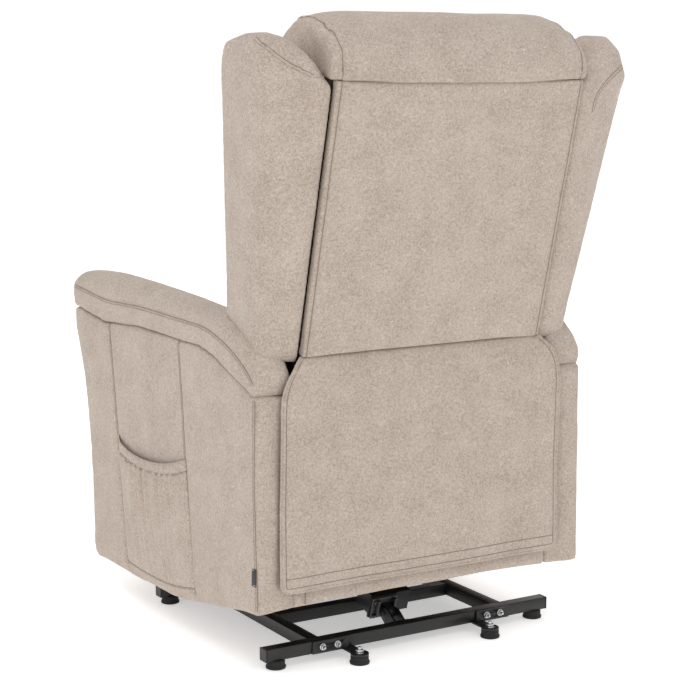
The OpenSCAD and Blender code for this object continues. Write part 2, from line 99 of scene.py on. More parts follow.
ARM = local_box("arm_left", CHAIR)
ARM_IN, ARM_OUT = ARM[0].x, ARM[1].x
PAD = local_box("arm_pad_left", CHAIR)
PANEL = local_box("back_panel", BACK)
PILLOW = local_box("head_pillow", BACK)
RAIL = local_box("rear_rail", CHAIR)
LABEL = local_box("arm_label", CHAIR)


# ---- colours and materials ----
def srgb(code):
    """Linear RGBA of an sRGB hex colour."""
    parts = [int(code[i:i + 2], 16) / 255 for i in (0, 2, 4)]
    return tuple(c / 12.92 if c <= 0.04045 else ((c + 0.055) / 1.055) ** 2.4 for c in parts) + (1.0,)


def toned(colour, gain, lift=0.0):
    """A colour made deeper or paler by a gain and a lift."""
    return tuple(gain * c + lift for c in colour[:3]) + (1.0,)


def feed(tree, node, inputs):
    """Links or fills inputs of a node."""
    for key, value in inputs.items():
        if isinstance(value, bpy.types.NodeSocket):
            tree.links.new(value, node.inputs[key])
        else:
            node.inputs[key].default_value = value


def add(tree, kind, inputs=None, stops=(), **settings):
    """A new node with its settings and inputs; stops are the (position, colour) pairs of a colour ramp."""
    made = tree.nodes.new(kind)
    for key, value in settings.items():
        setattr(made, key, value)
    if stops:
        points = made.color_ramp.elements
        for _ in stops[len(points):]:
            points.new(0.5)
        for point, (position, colour) in zip(points, stops):
            point.position = position
            point.color = colour
    feed(tree, made, inputs or {})
    return made


def blank(name):
    """A new material, its tree, its shader and its Object coordinates."""
    material = bpy.data.materials.new(name)
    material.use_nodes = True
    tree = material.node_tree
    place = add(tree, "ShaderNodeTexCoord").outputs["Object"]
    return material, tree, tree.nodes["Principled BSDF"], place


def per_mm(size):
    """Noise scale whose features are about so many millimetres across."""
    return 1 / (size * MM)


def microfibre(name, dark, mid, light):
    """Sueded polyester microfibre: brushed and printed, so it is matt, heathered and finely veined."""
    material, tree, shader, place = blank(name)
    cloud = add(tree, "ShaderNodeTexNoise", {"Vector": place, "Scale": per_mm(60), "Detail": 2.0})
    heather = add(tree, "ShaderNodeTexNoise",
                  {"Vector": place, "Scale": per_mm(4.5), "Detail": 3.0, "Roughness": 0.7})
    fibre = add(tree, "ShaderNodeTexNoise",
                {"Vector": place, "Scale": per_mm(1.8), "Detail": 3.0, "Roughness": 0.7})
    total = 0.0
    for layer, weight in ((cloud, 0.12), (heather, 0.38), (fibre, 0.5)):
        total = add(tree, "ShaderNodeMath", {0: layer.outputs["Fac"], 1: weight, 2: total},
                    operation="MULTIPLY_ADD").outputs[0]
    ground = add(tree, "ShaderNodeValToRGB", {"Fac": total}, [(0.41, dark), (0.5, mid), (0.59, light)])
    # pale hairlines are thin contours of a distorted noise, broken up by a second one
    flat = add(tree, "ShaderNodeMapping", {"Vector": place, "Scale": (1.0, 1.0, 2.2)})
    vein = add(tree, "ShaderNodeTexNoise",
               {"Vector": flat.outputs[0], "Scale": per_mm(22), "Detail": 3.0, "Distortion": 0.6})
    off = add(tree, "ShaderNodeMath", {0: vein.outputs["Fac"], 1: 0.5}, operation="SUBTRACT")
    far = add(tree, "ShaderNodeMath", {0: off.outputs[0]}, operation="ABSOLUTE")
    line = add(tree, "ShaderNodeMapRange", {"Value": far.outputs[0], "From Min": 0.0, "From Max": 0.011,
                                            "To Min": 1.0, "To Max": 0.0})
    breaks = add(tree, "ShaderNodeTexNoise", {"Vector": place, "Scale": per_mm(14), "Detail": 2.0})
    gate = add(tree, "ShaderNodeMapRange", {"Value": breaks.outputs["Fac"], "From Min": 0.5,
                                            "From Max": 0.58, "To Max": 0.8})
    share = add(tree, "ShaderNodeMath", {0: line.outputs[0], 1: gate.outputs[0]}, operation="MULTIPLY")
    veined = add(tree, "ShaderNodeMix", {"Factor": share.outputs[0], "A": ground.outputs["Color"],
                                         "B": srgb("DDD3C7")}, data_type="RGBA")
    # painted shade: the cloth's colour is darkened where a seam draws it in, standing for the shade in the
    # fold
    painted_seam_shade = add(tree, "ShaderNodeAttribute", attribute_name="seam")
    shade = add(tree, "ShaderNodeMath", {0: painted_seam_shade.outputs["Fac"], 1: 0.4}, operation="MULTIPLY")
    colour = add(tree, "ShaderNodeMix", {"Factor": shade.outputs[0], "A": veined.outputs["Result"],
                                         "B": srgb("8C7C6C")}, data_type="RGBA")
    # the real nap is too fine to show, so its bump is drawn 1.5 mm across
    nap = add(tree, "ShaderNodeTexNoise",
              {"Vector": place, "Scale": per_mm(1.5), "Detail": 4.0, "Roughness": 0.7})
    soft = add(tree, "ShaderNodeBump", {"Height": nap.outputs["Fac"], "Strength": 0.35, "Distance": 0.5 * MM})
    feed(tree, shader, {"Base Color": colour.outputs["Result"], "Normal": soft.outputs["Normal"],
                        "Roughness": 0.92, "IOR": 1.46, "Specular IOR Level": 0.2, "Sheen Weight": 0.12,
                        "Sheen Roughness": 0.5})
    return material


def thread(name, colour):
    """Bonded polyester sewing thread or lining: twisted, with a faint shine; it also draws the dark painted
    seam-shadow line.
    """
    material, tree, shader, place = blank(name)
    twist = add(tree, "ShaderNodeTexNoise", {"Vector": place, "Scale": per_mm(1.2), "Detail": 1.0})
    tone = add(tree, "ShaderNodeValToRGB", {"Fac": twist.outputs["Fac"]},
               [(0.3, toned(colour, 0.82)), (0.7, colour)])
    feed(tree, shader, {"Base Color": tone.outputs["Color"], "Roughness": 0.65})
    return material


def powder_coat(name, colour, roughness):
    """Powder-coated steel: a baked polyester skin with a fine orange peel and satin gloss."""
    material, tree, shader, place = blank(name)
    peel = add(tree, "ShaderNodeTexNoise", {"Vector": place, "Scale": per_mm(1.6), "Detail": 2.0})
    wear = add(tree, "ShaderNodeTexNoise", {"Vector": place, "Scale": per_mm(40), "Detail": 4.0})
    tone = add(tree, "ShaderNodeValToRGB", {"Fac": wear.outputs["Fac"]},
               [(0.42, colour), (0.72, toned(colour, 1.5, 0.004))])
    gloss = add(tree, "ShaderNodeMapRange", {"Value": wear.outputs["Fac"], "To Min": roughness - 0.06,
                                             "To Max": roughness + 0.1})
    skin = add(tree, "ShaderNodeBump",
              {"Height": peel.outputs["Fac"], "Strength": 0.25, "Distance": 0.1 * MM})
    feed(tree, shader, {"Base Color": tone.outputs["Color"], "Roughness": gloss.outputs[0],
                        "Normal": skin.outputs["Normal"]})
    return material


def bare_metal(name, colour, roughness, grain):
    """Zinc-plated, drawn or cast metal: cloudy plating, with a grain of so many millimetres."""
    material, tree, shader, place = blank(name)
    cloud = add(tree, "ShaderNodeTexNoise", {"Vector": place, "Scale": per_mm(grain), "Detail": 4.0})
    tone = add(tree, "ShaderNodeValToRGB", {"Fac": cloud.outputs["Fac"]},
               [(0.35, toned(colour, 0.72)), (0.65, colour)])
    gloss = add(tree, "ShaderNodeMapRange", {"Value": cloud.outputs["Fac"], "To Min": roughness - 0.07,
                                             "To Max": roughness + 0.12})
    skin = add(tree, "ShaderNodeBump",
              {"Height": cloud.outputs["Fac"], "Strength": 0.2, "Distance": 0.08 * MM})
    feed(tree, shader, {"Base Color": tone.outputs["Color"], "Roughness": gloss.outputs[0],
                        "Normal": skin.outputs["Normal"], "Metallic": 1.0})
    return material


def moulded(name, colour, roughness, grain):
    """Injection-moulded plastic or rubber: a spark-eroded texture of so many millimetres."""
    material, tree, shader, place = blank(name)
    spark = add(tree, "ShaderNodeTexNoise", {"Vector": place, "Scale": per_mm(grain), "Detail": 3.0})
    tint = add(tree, "ShaderNodeTexNoise", {"Vector": place, "Scale": per_mm(30), "Detail": 2.0})
    tone = add(tree, "ShaderNodeValToRGB", {"Fac": tint.outputs["Fac"]},
               [(0.35, colour), (0.75, toned(colour, 1.35, 0.003))])
    skin = add(tree, "ShaderNodeBump",
              {"Height": spark.outputs["Fac"], "Strength": 0.3, "Distance": 0.1 * MM})
    feed(tree, shader, {"Base Color": tone.outputs["Color"], "Normal": skin.outputs["Normal"],
                        "Roughness": roughness, "IOR": 1.5})
    return material


def softwood(name):
    """Sawn pine: rings stretched along the boards, matt and a little rough."""
    material, tree, shader, place = blank(name)
    along = add(tree, "ShaderNodeMapping", {"Vector": place, "Scale": (0.2, 1.0, 1.0)})
    rings = add(tree, "ShaderNodeTexWave", {"Vector": along.outputs[0], "Scale": per_mm(60),
                                            "Distortion": 5.0, "Detail": 3.0, "Detail Scale": 1.4},
                bands_direction="Z")
    tone = add(tree, "ShaderNodeValToRGB", {"Fac": rings.outputs["Fac"]},
               [(0.1, srgb("B98D5A")), (0.9, srgb("D9B98A"))])
    sawn = add(tree, "ShaderNodeBump",
              {"Height": rings.outputs["Fac"], "Strength": 0.2, "Distance": 0.3 * MM})
    feed(tree, shader, {"Base Color": tone.outputs["Color"], "Normal": sawn.outputs["Normal"],
                        "Roughness": 0.7})
    return material


def woven_label(name, colour):
    """Damask label: a dense satin weave of fine dark threads, drawn 0.8 mm apart so that it shows."""
    material, tree, shader, place = blank(name)
    weave = add(tree, "ShaderNodeTexWave", {"Vector": place, "Scale": per_mm(2.4)}, bands_direction="Z")
    tone = add(tree, "ShaderNodeValToRGB", {"Fac": weave.outputs["Fac"]},
               [(0.3, colour), (0.8, toned(colour, 2.2, 0.01))])
    satin = add(tree, "ShaderNodeBump",
               {"Height": weave.outputs["Fac"], "Strength": 0.4, "Distance": 0.15 * MM})
    feed(tree, shader, {"Base Color": tone.outputs["Color"], "Normal": satin.outputs["Normal"],
                        "Roughness": 0.55})
    return material


# maker, sRGB colour and the maker's other values of each finish whose colour isn't a setting
FINISHES = {
    # the next entry is painted shadow: a dark line made like thread, standing for the shade in a seam's fold
    "seam_crease": (thread, "8E8074"),
    "topstitch_thread": (thread, "A39383"),
    "lining_cloth": (thread, "EDEAE6"),
    # near-black lining, its darkness partly painted shade for the gap beside the wings
    "black_lining": (thread, "17120F"),
    "powder_coated_mechanism": (powder_coat, "1C1B1B", 0.45),
    "moulded_rubber": (moulded, "101010", 0.7, 1.2),
    "black_abs": (moulded, "171717", 0.45, 0.9),
    "handset_abs": (moulded, "2E2F31", 0.4, 0.9),
    "silicone_button": (moulded, "C9C9C6", 0.5, 1.5),
    "zinc_plated_bolt": (bare_metal, "D5D8DC", 0.22, 6),
    "cast_zinc_alloy": (bare_metal, "6F6F70", 0.42, 3),
    "turned_steel": (bare_metal, "B9BCBF", 0.3, 8),
    "spring_steel": (bare_metal, "6E7073", 0.35, 5),
    "woven_label": (woven_label, "14181C"),
}
MATERIALS = {}


def finish_of(name):
    """The material of that name, made the first time it is asked for."""
    looks = bpy.context.scene.recliner_looks
    if name in MATERIALS:
        return MATERIALS[name]
    if name == "microfibre":
        tones = (looks.cloth_dark, looks.cloth_mid, looks.cloth_light)
        MATERIALS[name] = microfibre(name, *[toned(tone, 1) for tone in tones])
    elif name == "powder_coated_tube":
        MATERIALS[name] = powder_coat(name, toned(looks.steel, 1), 0.38)
    elif name == "sawn_pine":
        MATERIALS[name] = softwood(name)
    else:
        maker, code, *values = FINISHES[name]
        MATERIALS[name] = maker(name, srgb(code), *values)
    return MATERIALS[name]


# ---- mesh work ----
def linked(name, data):
    """A scene object that holds some data."""
    obj = bpy.data.objects.new(name, data)
    bpy.context.scene.collection.objects.link(obj)
    return obj


def made_object(name, bm, place=None):
    """A scene object from a bmesh, carried to the part's frame by place."""
    if place is not None:
        bmesh.ops.transform(bm, matrix=place, verts=bm.verts)
    bmesh.ops.recalc_face_normals(bm, faces=bm.faces)
    mesh = bpy.data.meshes.new(name)
    bm.to_mesh(mesh)
    bm.free()
    return linked(name, mesh)


def baked(obj):
    """Applies obj's modifiers to its mesh."""
    bpy.context.view_layer.update()
    graph = bpy.context.evaluated_depsgraph_get()
    mesh = bpy.data.meshes.new_from_object(obj.evaluated_get(graph))
    obj.modifiers.clear()
    old = obj.data
    obj.data = mesh
    bpy.data.meshes.remove(old)
    return obj


def set_up(obj, material, body, slot, *nodes):
    """Shades, finishes and mounts a piece on its body."""
    obj.data.materials.clear()
    obj.data.materials.append(finish_of(material))
    for polygon in obj.data.polygons:
        polygon.use_smooth = True
    if body:
        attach(obj, body)
    if nodes:
        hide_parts(*nodes)
    return obj


def coordinates(mesh):
    """Every vertex of a mesh, as rows of an array."""
    points = np.empty(len(mesh.vertices) * 3)
    mesh.vertices.foreach_get("co", points)
    return points.reshape(-1, 3)


def vertex_normals(mesh):
    """Every vertex normal of a mesh, as rows of an array."""
    normals = np.empty(len(mesh.vertices) * 3)
    mesh.vertex_normals.foreach_get("vector", normals)
    return normals.reshape(-1, 3)


def move_to(mesh, points):
    """Moves the vertices of a mesh to the rows of an array."""
    mesh.vertices.foreach_set("co", np.asarray(points).ravel())
    mesh.update()


def smooth_path(points, step=6.0):
    """Catmull-Rom curve through points, sampled about every step of their own unit."""
    ends = [points[0], *points, points[-1]]
    path = []
    for a, b, c, d in zip(ends, ends[1:], ends[2:], ends[3:]):
        a, b, c, d = Vector(a), Vector(b), Vector(c), Vector(d)
        count = max(2, int((c - b).length / step))
        for i in range(count):
            t = i / count
            path.append(0.5 * (2 * b + (c - a) * t + (2 * a - 5 * b + 4 * c - d) * t * t
                               + (3 * b - a - 3 * c + d) * t ** 3))
    path.append(Vector(points[-1]))
    return path


def carried(points, place):
    """A smooth path through points in a place's millimetres, carried to the part's frame."""
    return [place @ p for p in smooth_path([Vector(p) for p in points])]


def distance_to(paths, points):
    """Distance of each point to the nearest of the paths."""
    nearest = np.full(len(points), 1e9)
    for path in paths:
        for a, b in zip(path, path[1:]):
            a, b = np.array(a), np.array(b)
            along = b - a
            t = np.clip((points - a) @ along / max(along @ along, 1e-12), 0, 1)
            nearest = np.minimum(nearest, np.linalg.norm(points - a - t[:, None] * along, axis=1))
    return nearest


def cad_copy(node, edge):
    """The closed form of a CAD node, its edges rounded by so many metres."""
    bm = bmesh.new()
    bm.from_mesh(frame["nodes"][node].data)
    bmesh.ops.remove_doubles(bm, verts=bm.verts, dist=1e-5)
    bmesh.ops.dissolve_limit(bm, angle_limit=math.radians(1), verts=bm.verts, edges=bm.edges)
    if edge:
        sharp = [e for e in bm.edges if e.calc_face_angle(0) > math.radians(12)]
        bmesh.ops.bevel(bm, geom=sharp, offset=edge, offset_type="OFFSET", segments=3, profile=0.5,
                        affect="EDGES", clamp_overlap=True, material=-1)
    return bm


def loft(rings, place):
    """A closed form through rings of as many points each, capped at both ends and carried by place."""
    bm = bmesh.new()
    loops = []
    for ring in rings:
        verts = [bm.verts.new(p) for p in ring]
        loops.append([bm.edges.new((v, verts[(i + 1) % len(verts)])) for i, v in enumerate(verts)])
    for one, other in zip(loops, loops[1:]):
        bmesh.ops.bridge_loops(bm, edges=one + other)
    for end in (loops[0], loops[-1]):
        bmesh.ops.contextual_create(bm, geom=end)
    bmesh.ops.transform(bm, matrix=place, verts=bm.verts)
    return bm


CLOTH_FRAMES = 20


def swell(obj, pinned, cap, pressure):
    """Blows the cover up by cloth simulation; pinned points stay, and no point moves further than cap."""
    scene = bpy.context.scene
    group = obj.vertex_groups.new(name="held")
    group.add([int(i) for i in np.flatnonzero(pinned)], 1.0, "REPLACE")
    start = coordinates(obj.data)
    cloth = obj.modifiers.new("Cloth", "CLOTH")
    cloth.settings.use_pressure = True
    cloth.settings.uniform_pressure_force = pressure
    cloth.settings.vertex_group_mass = "held"
    cloth.settings.effector_weights.gravity = 0
    cloth.collision_settings.use_collision = False
    for step in range(1, CLOTH_FRAMES + 1):
        scene.frame_set(step)
    graph = bpy.context.evaluated_depsgraph_get()
    grown = coordinates(obj.evaluated_get(graph).data)
    obj.modifiers.clear()
    obj.vertex_groups.clear()
    scene.frame_set(1)
    move = grown - start
    length = np.linalg.norm(move, axis=1)
    # a soft cap leaves the middle a little fuller than a hard one
    allowed = cap * np.tanh(length / cap)
    move_to(obj.data, start + move * (allowed / np.maximum(length, 1e-9))[:, None])


def smoothed(obj, times):
    """Gives obj a Smooth modifier."""
    even = obj.modifiers.new("Smooth", "SMOOTH")
    even.factor = 0.5
    even.iterations = times


SETTLE_TIMES = 2      # smoothing after the cloth simulation
RIPPLE_LENGTH = 90    # length of the soft unevenness of a cover, mm


def stuffed(name, bm, seams, voxel=5.0, shrink=3.0, cap=6.0, pressure=4.0, smooth=4, groove=2.0, ripple=0.7):
    """A cover over stuffing, blown up between its seams and creased along them.

    It is remeshed at voxel, smoothed, drawn in by shrink and blown up by no more than cap, all in mm.
    """
    obj = made_object(name, bm)
    remesh = obj.modifiers.new("Remesh", "REMESH")
    remesh.mode = "VOXEL"
    remesh.voxel_size = voxel * MM
    smoothed(obj, smooth)
    baked(obj)
    move_to(obj.data, coordinates(obj.data) - shrink * MM * vertex_normals(obj.data))
    swell(obj, distance_to(seams, coordinates(obj.data)) < 1.1 * voxel * MM, cap * MM, pressure)
    smoothed(obj, SETTLE_TIMES)
    baked(obj)
    points, normals = coordinates(obj.data), vertex_normals(obj.data)
    wave = np.array([noise.noise(Vector(p) * per_mm(RIPPLE_LENGTH)) for p in points])
    move_to(obj.data, points + normals * (ripple * MM * wave)[:, None])
    return creased(obj, seams, groove)


GROOVE_REACH = 9    # how far a seam draws the cloth in beside it, mm
SHADE_REACH = 7     # how far the painted seam shade reaches, mm


def creased(obj, seams, groove):
    """Draws the cloth in along seams by so many millimetres, and stores a painted-shade mask beside them for
    the shader.
    """
    points, normals = coordinates(obj.data), vertex_normals(obj.data)
    near = distance_to(seams, points)
    dip = np.clip(1 - near / (GROOVE_REACH * MM), 0, 1) ** 2
    move_to(obj.data, points - normals * (groove * MM * dip)[:, None])
    # the seam attribute is painted shade: the shader darkens the cloth colour by it
    painted_seam_shade = obj.data.attributes.get("seam") or obj.data.attributes.new("seam", "FLOAT", "POINT")
    shade = np.clip(1 - near / (SHADE_REACH * MM), 0, 1) ** 2
    painted_seam_shade.data.foreach_set("value", shade.astype(np.float32))
    return obj


def surface_of(obj):
    """A search tree of the faces of obj."""
    mesh = obj.data
    return BVHTree.FromPolygons([v.co for v in mesh.vertices], [p.vertices for p in mesh.polygons])


def laid_on(tree, path):
    """(point, normal) of the path's points on a surface."""
    found = [tree.find_nearest(p) for p in path]
    return [(f[0], f[1]) for f in found if f[0] is not None]


def spaced(path, gap):
    """Points and directions every gap along a path."""
    out, left = [], 0.0
    for a, b in zip(path, path[1:]):
        length = (b - a).length
        while left < length:
            out.append((a.lerp(b, left / length), (b - a).normalized()))
            left += gap
        left -= length
    return out


def threads(name, paths, radius):
    """An object of round threads along paths."""
    curve = bpy.data.curves.new("thread", "CURVE")
    curve.dimensions = "3D"
    curve.bevel_depth = radius
    curve.bevel_resolution = 1
    curve.use_fill_caps = True
    for path in paths:
        spline = curve.splines.new("POLY")
        spline.points.add(len(path) - 1)
        for point, place in zip(spline.points, path):
            point.co = (*place, 1.0)
    holder = linked("thread", curve)
    bpy.context.view_layer.update()
    mesh = bpy.data.meshes.new_from_object(holder.evaluated_get(bpy.context.evaluated_depsgraph_get()))
    bpy.data.objects.remove(holder)
    bpy.data.curves.remove(curve)
    return linked(name, mesh)


STITCH_WIDE = 0.9     # a topstitch's width and height, mm
STITCH_HIGH = 0.7
STITCH_SHARE = 0.68   # the stitch's share of its pitch; the rest is the gap
SEAM_SHADOW_RADIUS = 0.75


def sew(name, cover, seams, rows, body, bend=None):
    """The seams of a cover: a thin dark line along each, painted shadow for the shade in the seam's fold, and
    rows of topstitch so many millimetres beside it.
    """
    tree = surface_of(cover)
    seam_shadow_lines, stitches = [], bmesh.new()
    looks = bpy.context.scene.recliner_looks
    size = (looks.stitch * STITCH_SHARE, STITCH_WIDE * MM, STITCH_HIGH * MM)
    for seam in seams:
        laid = laid_on(tree, seam)
        seam_shadow_lines.append([p + n * 0.1 * MM for p, n in laid])
        for row in rows:
            for point, direction in spaced([p for p, n in laid], looks.stitch):
                at, normal, _, _ = tree.find_nearest(point)
                side = direction.cross(normal).normalized()
                at, normal, _, _ = tree.find_nearest(point + side * row * MM)
                side = direction.cross(normal).normalized()
                forward = normal.cross(side).normalized()
                turn = Matrix((forward, side, normal)).transposed().to_4x4()
                where = Matrix.Translation(at + normal * 0.2 * MM) @ turn @ Matrix.Diagonal((*size, 1))
                bmesh.ops.create_cube(stitches, size=1, matrix=where)
    # the dark tube along each seam is painted shadow, standing for the shade in its fold
    sewn = [(threads(name + "_seams", seam_shadow_lines, SEAM_SHADOW_RADIUS * MM), "seam_crease")]
    if rows:
        sewn.append((made_object(name + "_stitches", stitches), "topstitch_thread"))
    for obj, material in sewn:
        set_up(obj, material, None if bend else body, "upholstery")
        if bend:
            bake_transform(obj)


def mirrored(obj, name):
    """A copy of a piece on the other side of the chair."""
    bm = bmesh.new()
    bm.from_mesh(obj.data)
    bmesh.ops.transform(bm, matrix=Matrix.Diagonal((-1, 1, 1, 1)), verts=bm.verts)
    bmesh.ops.reverse_faces(bm, faces=bm.faces)
    mesh = bpy.data.meshes.new(name)
    bm.to_mesh(mesh)
    bm.free()
    return linked(name, mesh)


def mirror_path(path):
    """A path on the other side of the chair."""
    return [Vector((-p[0], p[1], p[2])) for p in path]


def dress(material, slot, edge, *nodes):
    """Gives CAD nodes their finish, and eased edges of so many millimetres."""
    for node in nodes:
        obj = frame["nodes"][node]
        obj.data.materials.clear()
        obj.data.materials.append(finish_of(material))
        weld = obj.modifiers.new("Weld", "WELD")
        weld.merge_threshold = 0.01 * MM
        if edge:
            ease = obj.modifiers.new("Bevel", "BEVEL")
            ease.width = edge * MM
            ease.segments = 2
            ease.limit_method = "ANGLE"
            ease.angle_limit = math.radians(40)
            ease.harden_normals = True
        for polygon in obj.data.polygons:
            polygon.use_smooth = True


def thickened(cloth, thick):
    """Gives a single layer of cloth its thickness in millimetres, half to each side."""
    wall = cloth.modifiers.new("Solidify", "SOLIDIFY")
    wall.thickness = thick * MM
    wall.offset = 0
    baked(cloth)


# ---- sizes and colours a user would change ----
class ReclinerLooks(bpy.types.PropertyGroup):
    """Sizes and colours of the upholstery and the frame"""

    cloth_dark: FloatVectorProperty(name="Cloth Dark", description="Darkest tone of the heathered cloth",
                                    subtype="COLOR", size=3, default=srgb("A39386")[:3])
    cloth_mid: FloatVectorProperty(name="Cloth Mid", description="Middle tone of the heathered cloth",
                                   subtype="COLOR", size=3, default=srgb("B8AA9E")[:3])
    cloth_light: FloatVectorProperty(name="Cloth Light", description="Lightest tone of the heathered cloth",
                                     subtype="COLOR", size=3, default=srgb("C9BCB0")[:3])
    steel: FloatVectorProperty(name="Frame Steel", description="Colour of the powder-coated floor frame",
                               subtype="COLOR", size=3, default=srgb("161515")[:3])
    stitch: FloatProperty(name="Stitch Pitch", description="Length of one topstitch with its gap",
                          default=4.6 * MM, min=0.003, unit="LENGTH")
    flap_swing: FloatProperty(name="Flap Waves", description="Depth of the soft waves in the rear curtain",
                              default=4.0 * MM, min=0.0, unit="LENGTH")


CAMERA_AT = (1.8449, 3.1321, 1.1325)


class ReclinerStage(bpy.types.PropertyGroup):
    """Camera and light of the stage"""

    lens: FloatProperty(name="Lens", description="Focal length of the camera, millimetres", default=90.8)
    azimuth: FloatProperty(name="Azimuth", description="Turn of the camera round the chair",
                           default=math.radians(148.92), subtype="ANGLE")
    elevation: FloatProperty(name="Elevation", description="Height of the camera above the horizon",
                             default=math.radians(9.16), subtype="ANGLE")
    world_light: FloatProperty(name="Room Light", description="Strength of the white surroundings",
                               default=0.7)


# ---- upholstery ----
# Seams on the outer side of an arm, [y, z] in the upright chair
POCKET_FRONT_SEAM = [(-552, 580), (-542, 352), (-527, 69)]
POCKET_REAR_SEAM = [(-217, 554), (-217, 329), (-218, 89), (-206, 54)]
ARM_CORNER_SEAM = [(86, 452), (64, 269), (50, 60)]
# The arm pad along its length: where it sits on the arm, its upper seam and its crown, [y, z]
PAD_STATIONS = [
    ((-741, 622), (-744, 640), (-738, 668)), ((-740, 619), (-749, 652), (-733, 684)),
    ((-728, 616.5), (-728, 663), (-706, 694)), ((-655, 600), (-648, 648), (-640, 692)),
    ((-579, 584.5), (-562, 632), (-568, 687)), ((-490, 580.5), (-478, 625), (-478, 676)),
    ((-408, 577.5), (-393, 619), (-388, 664)), ((-315, 566.5), (-310, 610), (-305, 652)),
    ((-221, 554.5), (-227, 600), (-215, 638)), ((-128, 545.5), (-104, 584), (-92, 616)),
    ((-70, 527.5), (-34, 562), (-20, 600)), ((-5, 496.5), (30, 531), (42, 566)),
    ((57, 469), (72, 500), (77, 528)), ((77, 457), (86, 483), (90, 499)), ((79, 455), (87, 470), (89, 478)),
]
DOME_ANGLES = [math.radians(a) for a in (18, 40, 64, 90, 116, 140, 162)]
TOPSTITCH = 4.5     # from an arm's seam to its topstitch, mm


def pad_ring(station):
    """One cross-section of an arm pad: flat below, upright at its sides and domed above the upper seam."""
    low, seam, crown = station
    inner, outer = PAD[0].x + 1, PAD[1].x - 1
    middle, half = (inner + outer) / 2, (outer - inner) / 2
    between = ((low[0] + seam[0]) / 2, (low[1] + seam[1]) / 2)
    ring = [(inner, *low), (middle, *low), (outer, *low), (outer, *between), (outer, *seam)]
    for angle in DOME_ANGLES:
        lift = math.sin(angle) ** 0.8
        out = math.copysign(abs(math.cos(angle)) ** 0.75, math.cos(angle))
        ring.append((middle + half * out, seam[0] + (crown[0] - seam[0]) * lift,
                     seam[1] + (crown[1] - seam[1]) * lift))
    return ring + [(inner, *seam), (inner, *between)]


# Lower edge of the front of an arm, [y, z] in the upright chair
ARM_HEM = [(-722, 80), (-698, 66), (-560, 52), (-500, 40), (-420, 0)]


def raise_hem(cover):
    """Lifts the lower edge of an arm towards its front, over the floor frame that it comes down to."""
    into, back = np.array(CHAIR.inverted()), np.array(CHAIR)
    points = coordinates(cover.data) @ into[:3, :3].T + into[:3, 3]
    hem = np.interp(points[:, 1], [y for y, z in ARM_HEM], [z for y, z in ARM_HEM])
    points[:, 2] = np.maximum(points[:, 2], hem)
    move_to(cover.data, points @ back[:3, :3].T + back[:3, 3])


class RECLINER_OT_arms(bpy.types.Operator):
    """Cover both arms and their pads, with the seams that frame the pocket"""

    bl_idname = "recliner.arms"
    bl_label = "Arms and Arm Pads"

    def execute(self, context):
        seams = [carried([(ARM_OUT, y, z) for y, z in path], CHAIR)
                 for path in (POCKET_FRONT_SEAM, POCKET_REAR_SEAM, ARM_CORNER_SEAM)]
        arm = stuffed("arm_cover_left", cad_copy("arm_left", 3 * MM), seams, voxel=5, shrink=-2, cap=4,
                      smooth=2)
        raise_hem(arm)
        arms = self.pair(arm, "arm", seams, TOPSTITCH)

        sides = (PAD[1].x - 1, PAD[0].x + 1)
        upper = [seam for low, seam, crown in PAD_STATIONS[2:-1]]
        lower = [low for low, seam, crown in PAD_STATIONS[1:]]
        pad_seams = [carried([(x, *p) for p in upper], CHAIR) for x in sides]
        pad_foot = [carried([(x, *p) for p in lower], CHAIR) for x in sides]
        pad_foot.append(carried([(x, *lower[-1]) for x in sides], CHAIR))
        pad = stuffed("arm_pad_cover_left", loft([pad_ring(s) for s in PAD_STATIONS], CHAIR),
                      pad_seams + pad_foot, voxel=5, shrink=0, cap=5, smooth=2, groove=1.5)
        pads = self.pair(pad, "arm_pad", pad_seams, 5)
        return {"FINISHED"}

    def pair(self, left, kind, seams, row):
        """Mounts a left cover and its copy on the right, and sews both."""
        right = mirrored(left, kind + "_cover_right")
        set_up(left, "microfibre", "seat", "upholstery", kind + "_left")
        set_up(right, "microfibre", "seat", "upholstery", kind + "_right")
        sew(kind + "_left", left, seams, (row,), "seat")
        sew(kind + "_right", right, [mirror_path(path) for path in seams], (-row,), "seat")
        return left, right


# The left wing up the leaning back: its outer face flares, its rear face leans in, its top is an uneven dome
WING_FOOT = 214.0
WING_FOOT_OUT = 348     # how far out its outer face is at the foot
WING_FLARE = 0.108      # how far the outer face moves out per millimetre up
WING_LEAN = 0.0415      # how far the rear face moves in per millimetre up
WING_LEVELS = (WING_FOOT, 300, 480, 640, 735)
WING_ROOT_LEVELS = (212, 480, 722)
WING_FRONT_EDGE = [(-121, 250), (-118, 378), (-125, 510), (-137, 605), (-151, 700), (-146, 738), (-134, 762)]
WING_DOME = [(389, -116, 769), (388, -90, 782), (379, -60, 790), (381, -27, 775), (356, -28, 791),
             (338, -24, 781), (319, -14, 766), (303, -8, 751), (288, -2, 727), (352, -90, 784),
             (318, -80, 768)]
WING_INNER = [(0, 226), (-100, 262), (-112, 640), (-100, 742)]
WING_REAR_SEAM = [(276, 24, 720), (276, 25, 480), (276, 26, 214)]
# the ridge seams of the two wings are sewn a little differently
WING_SEAM_LEFT = [(399, -55, 801), (378, -22, 780), (344, -8, 756), (313, 0, 741), (282, 8, 730),
                  (272, 14, 717)]
WING_SEAM_RIGHT = [(-397, -5, 759), (-362, 4, 742), (-329, 8, 722), (-312, 10, 703), (-308, 12, 670)]


def wing_outer(z):
    """How far out the wing's outer face is at a height."""
    return WING_FOOT_OUT + WING_FLARE * (z - WING_FOOT)


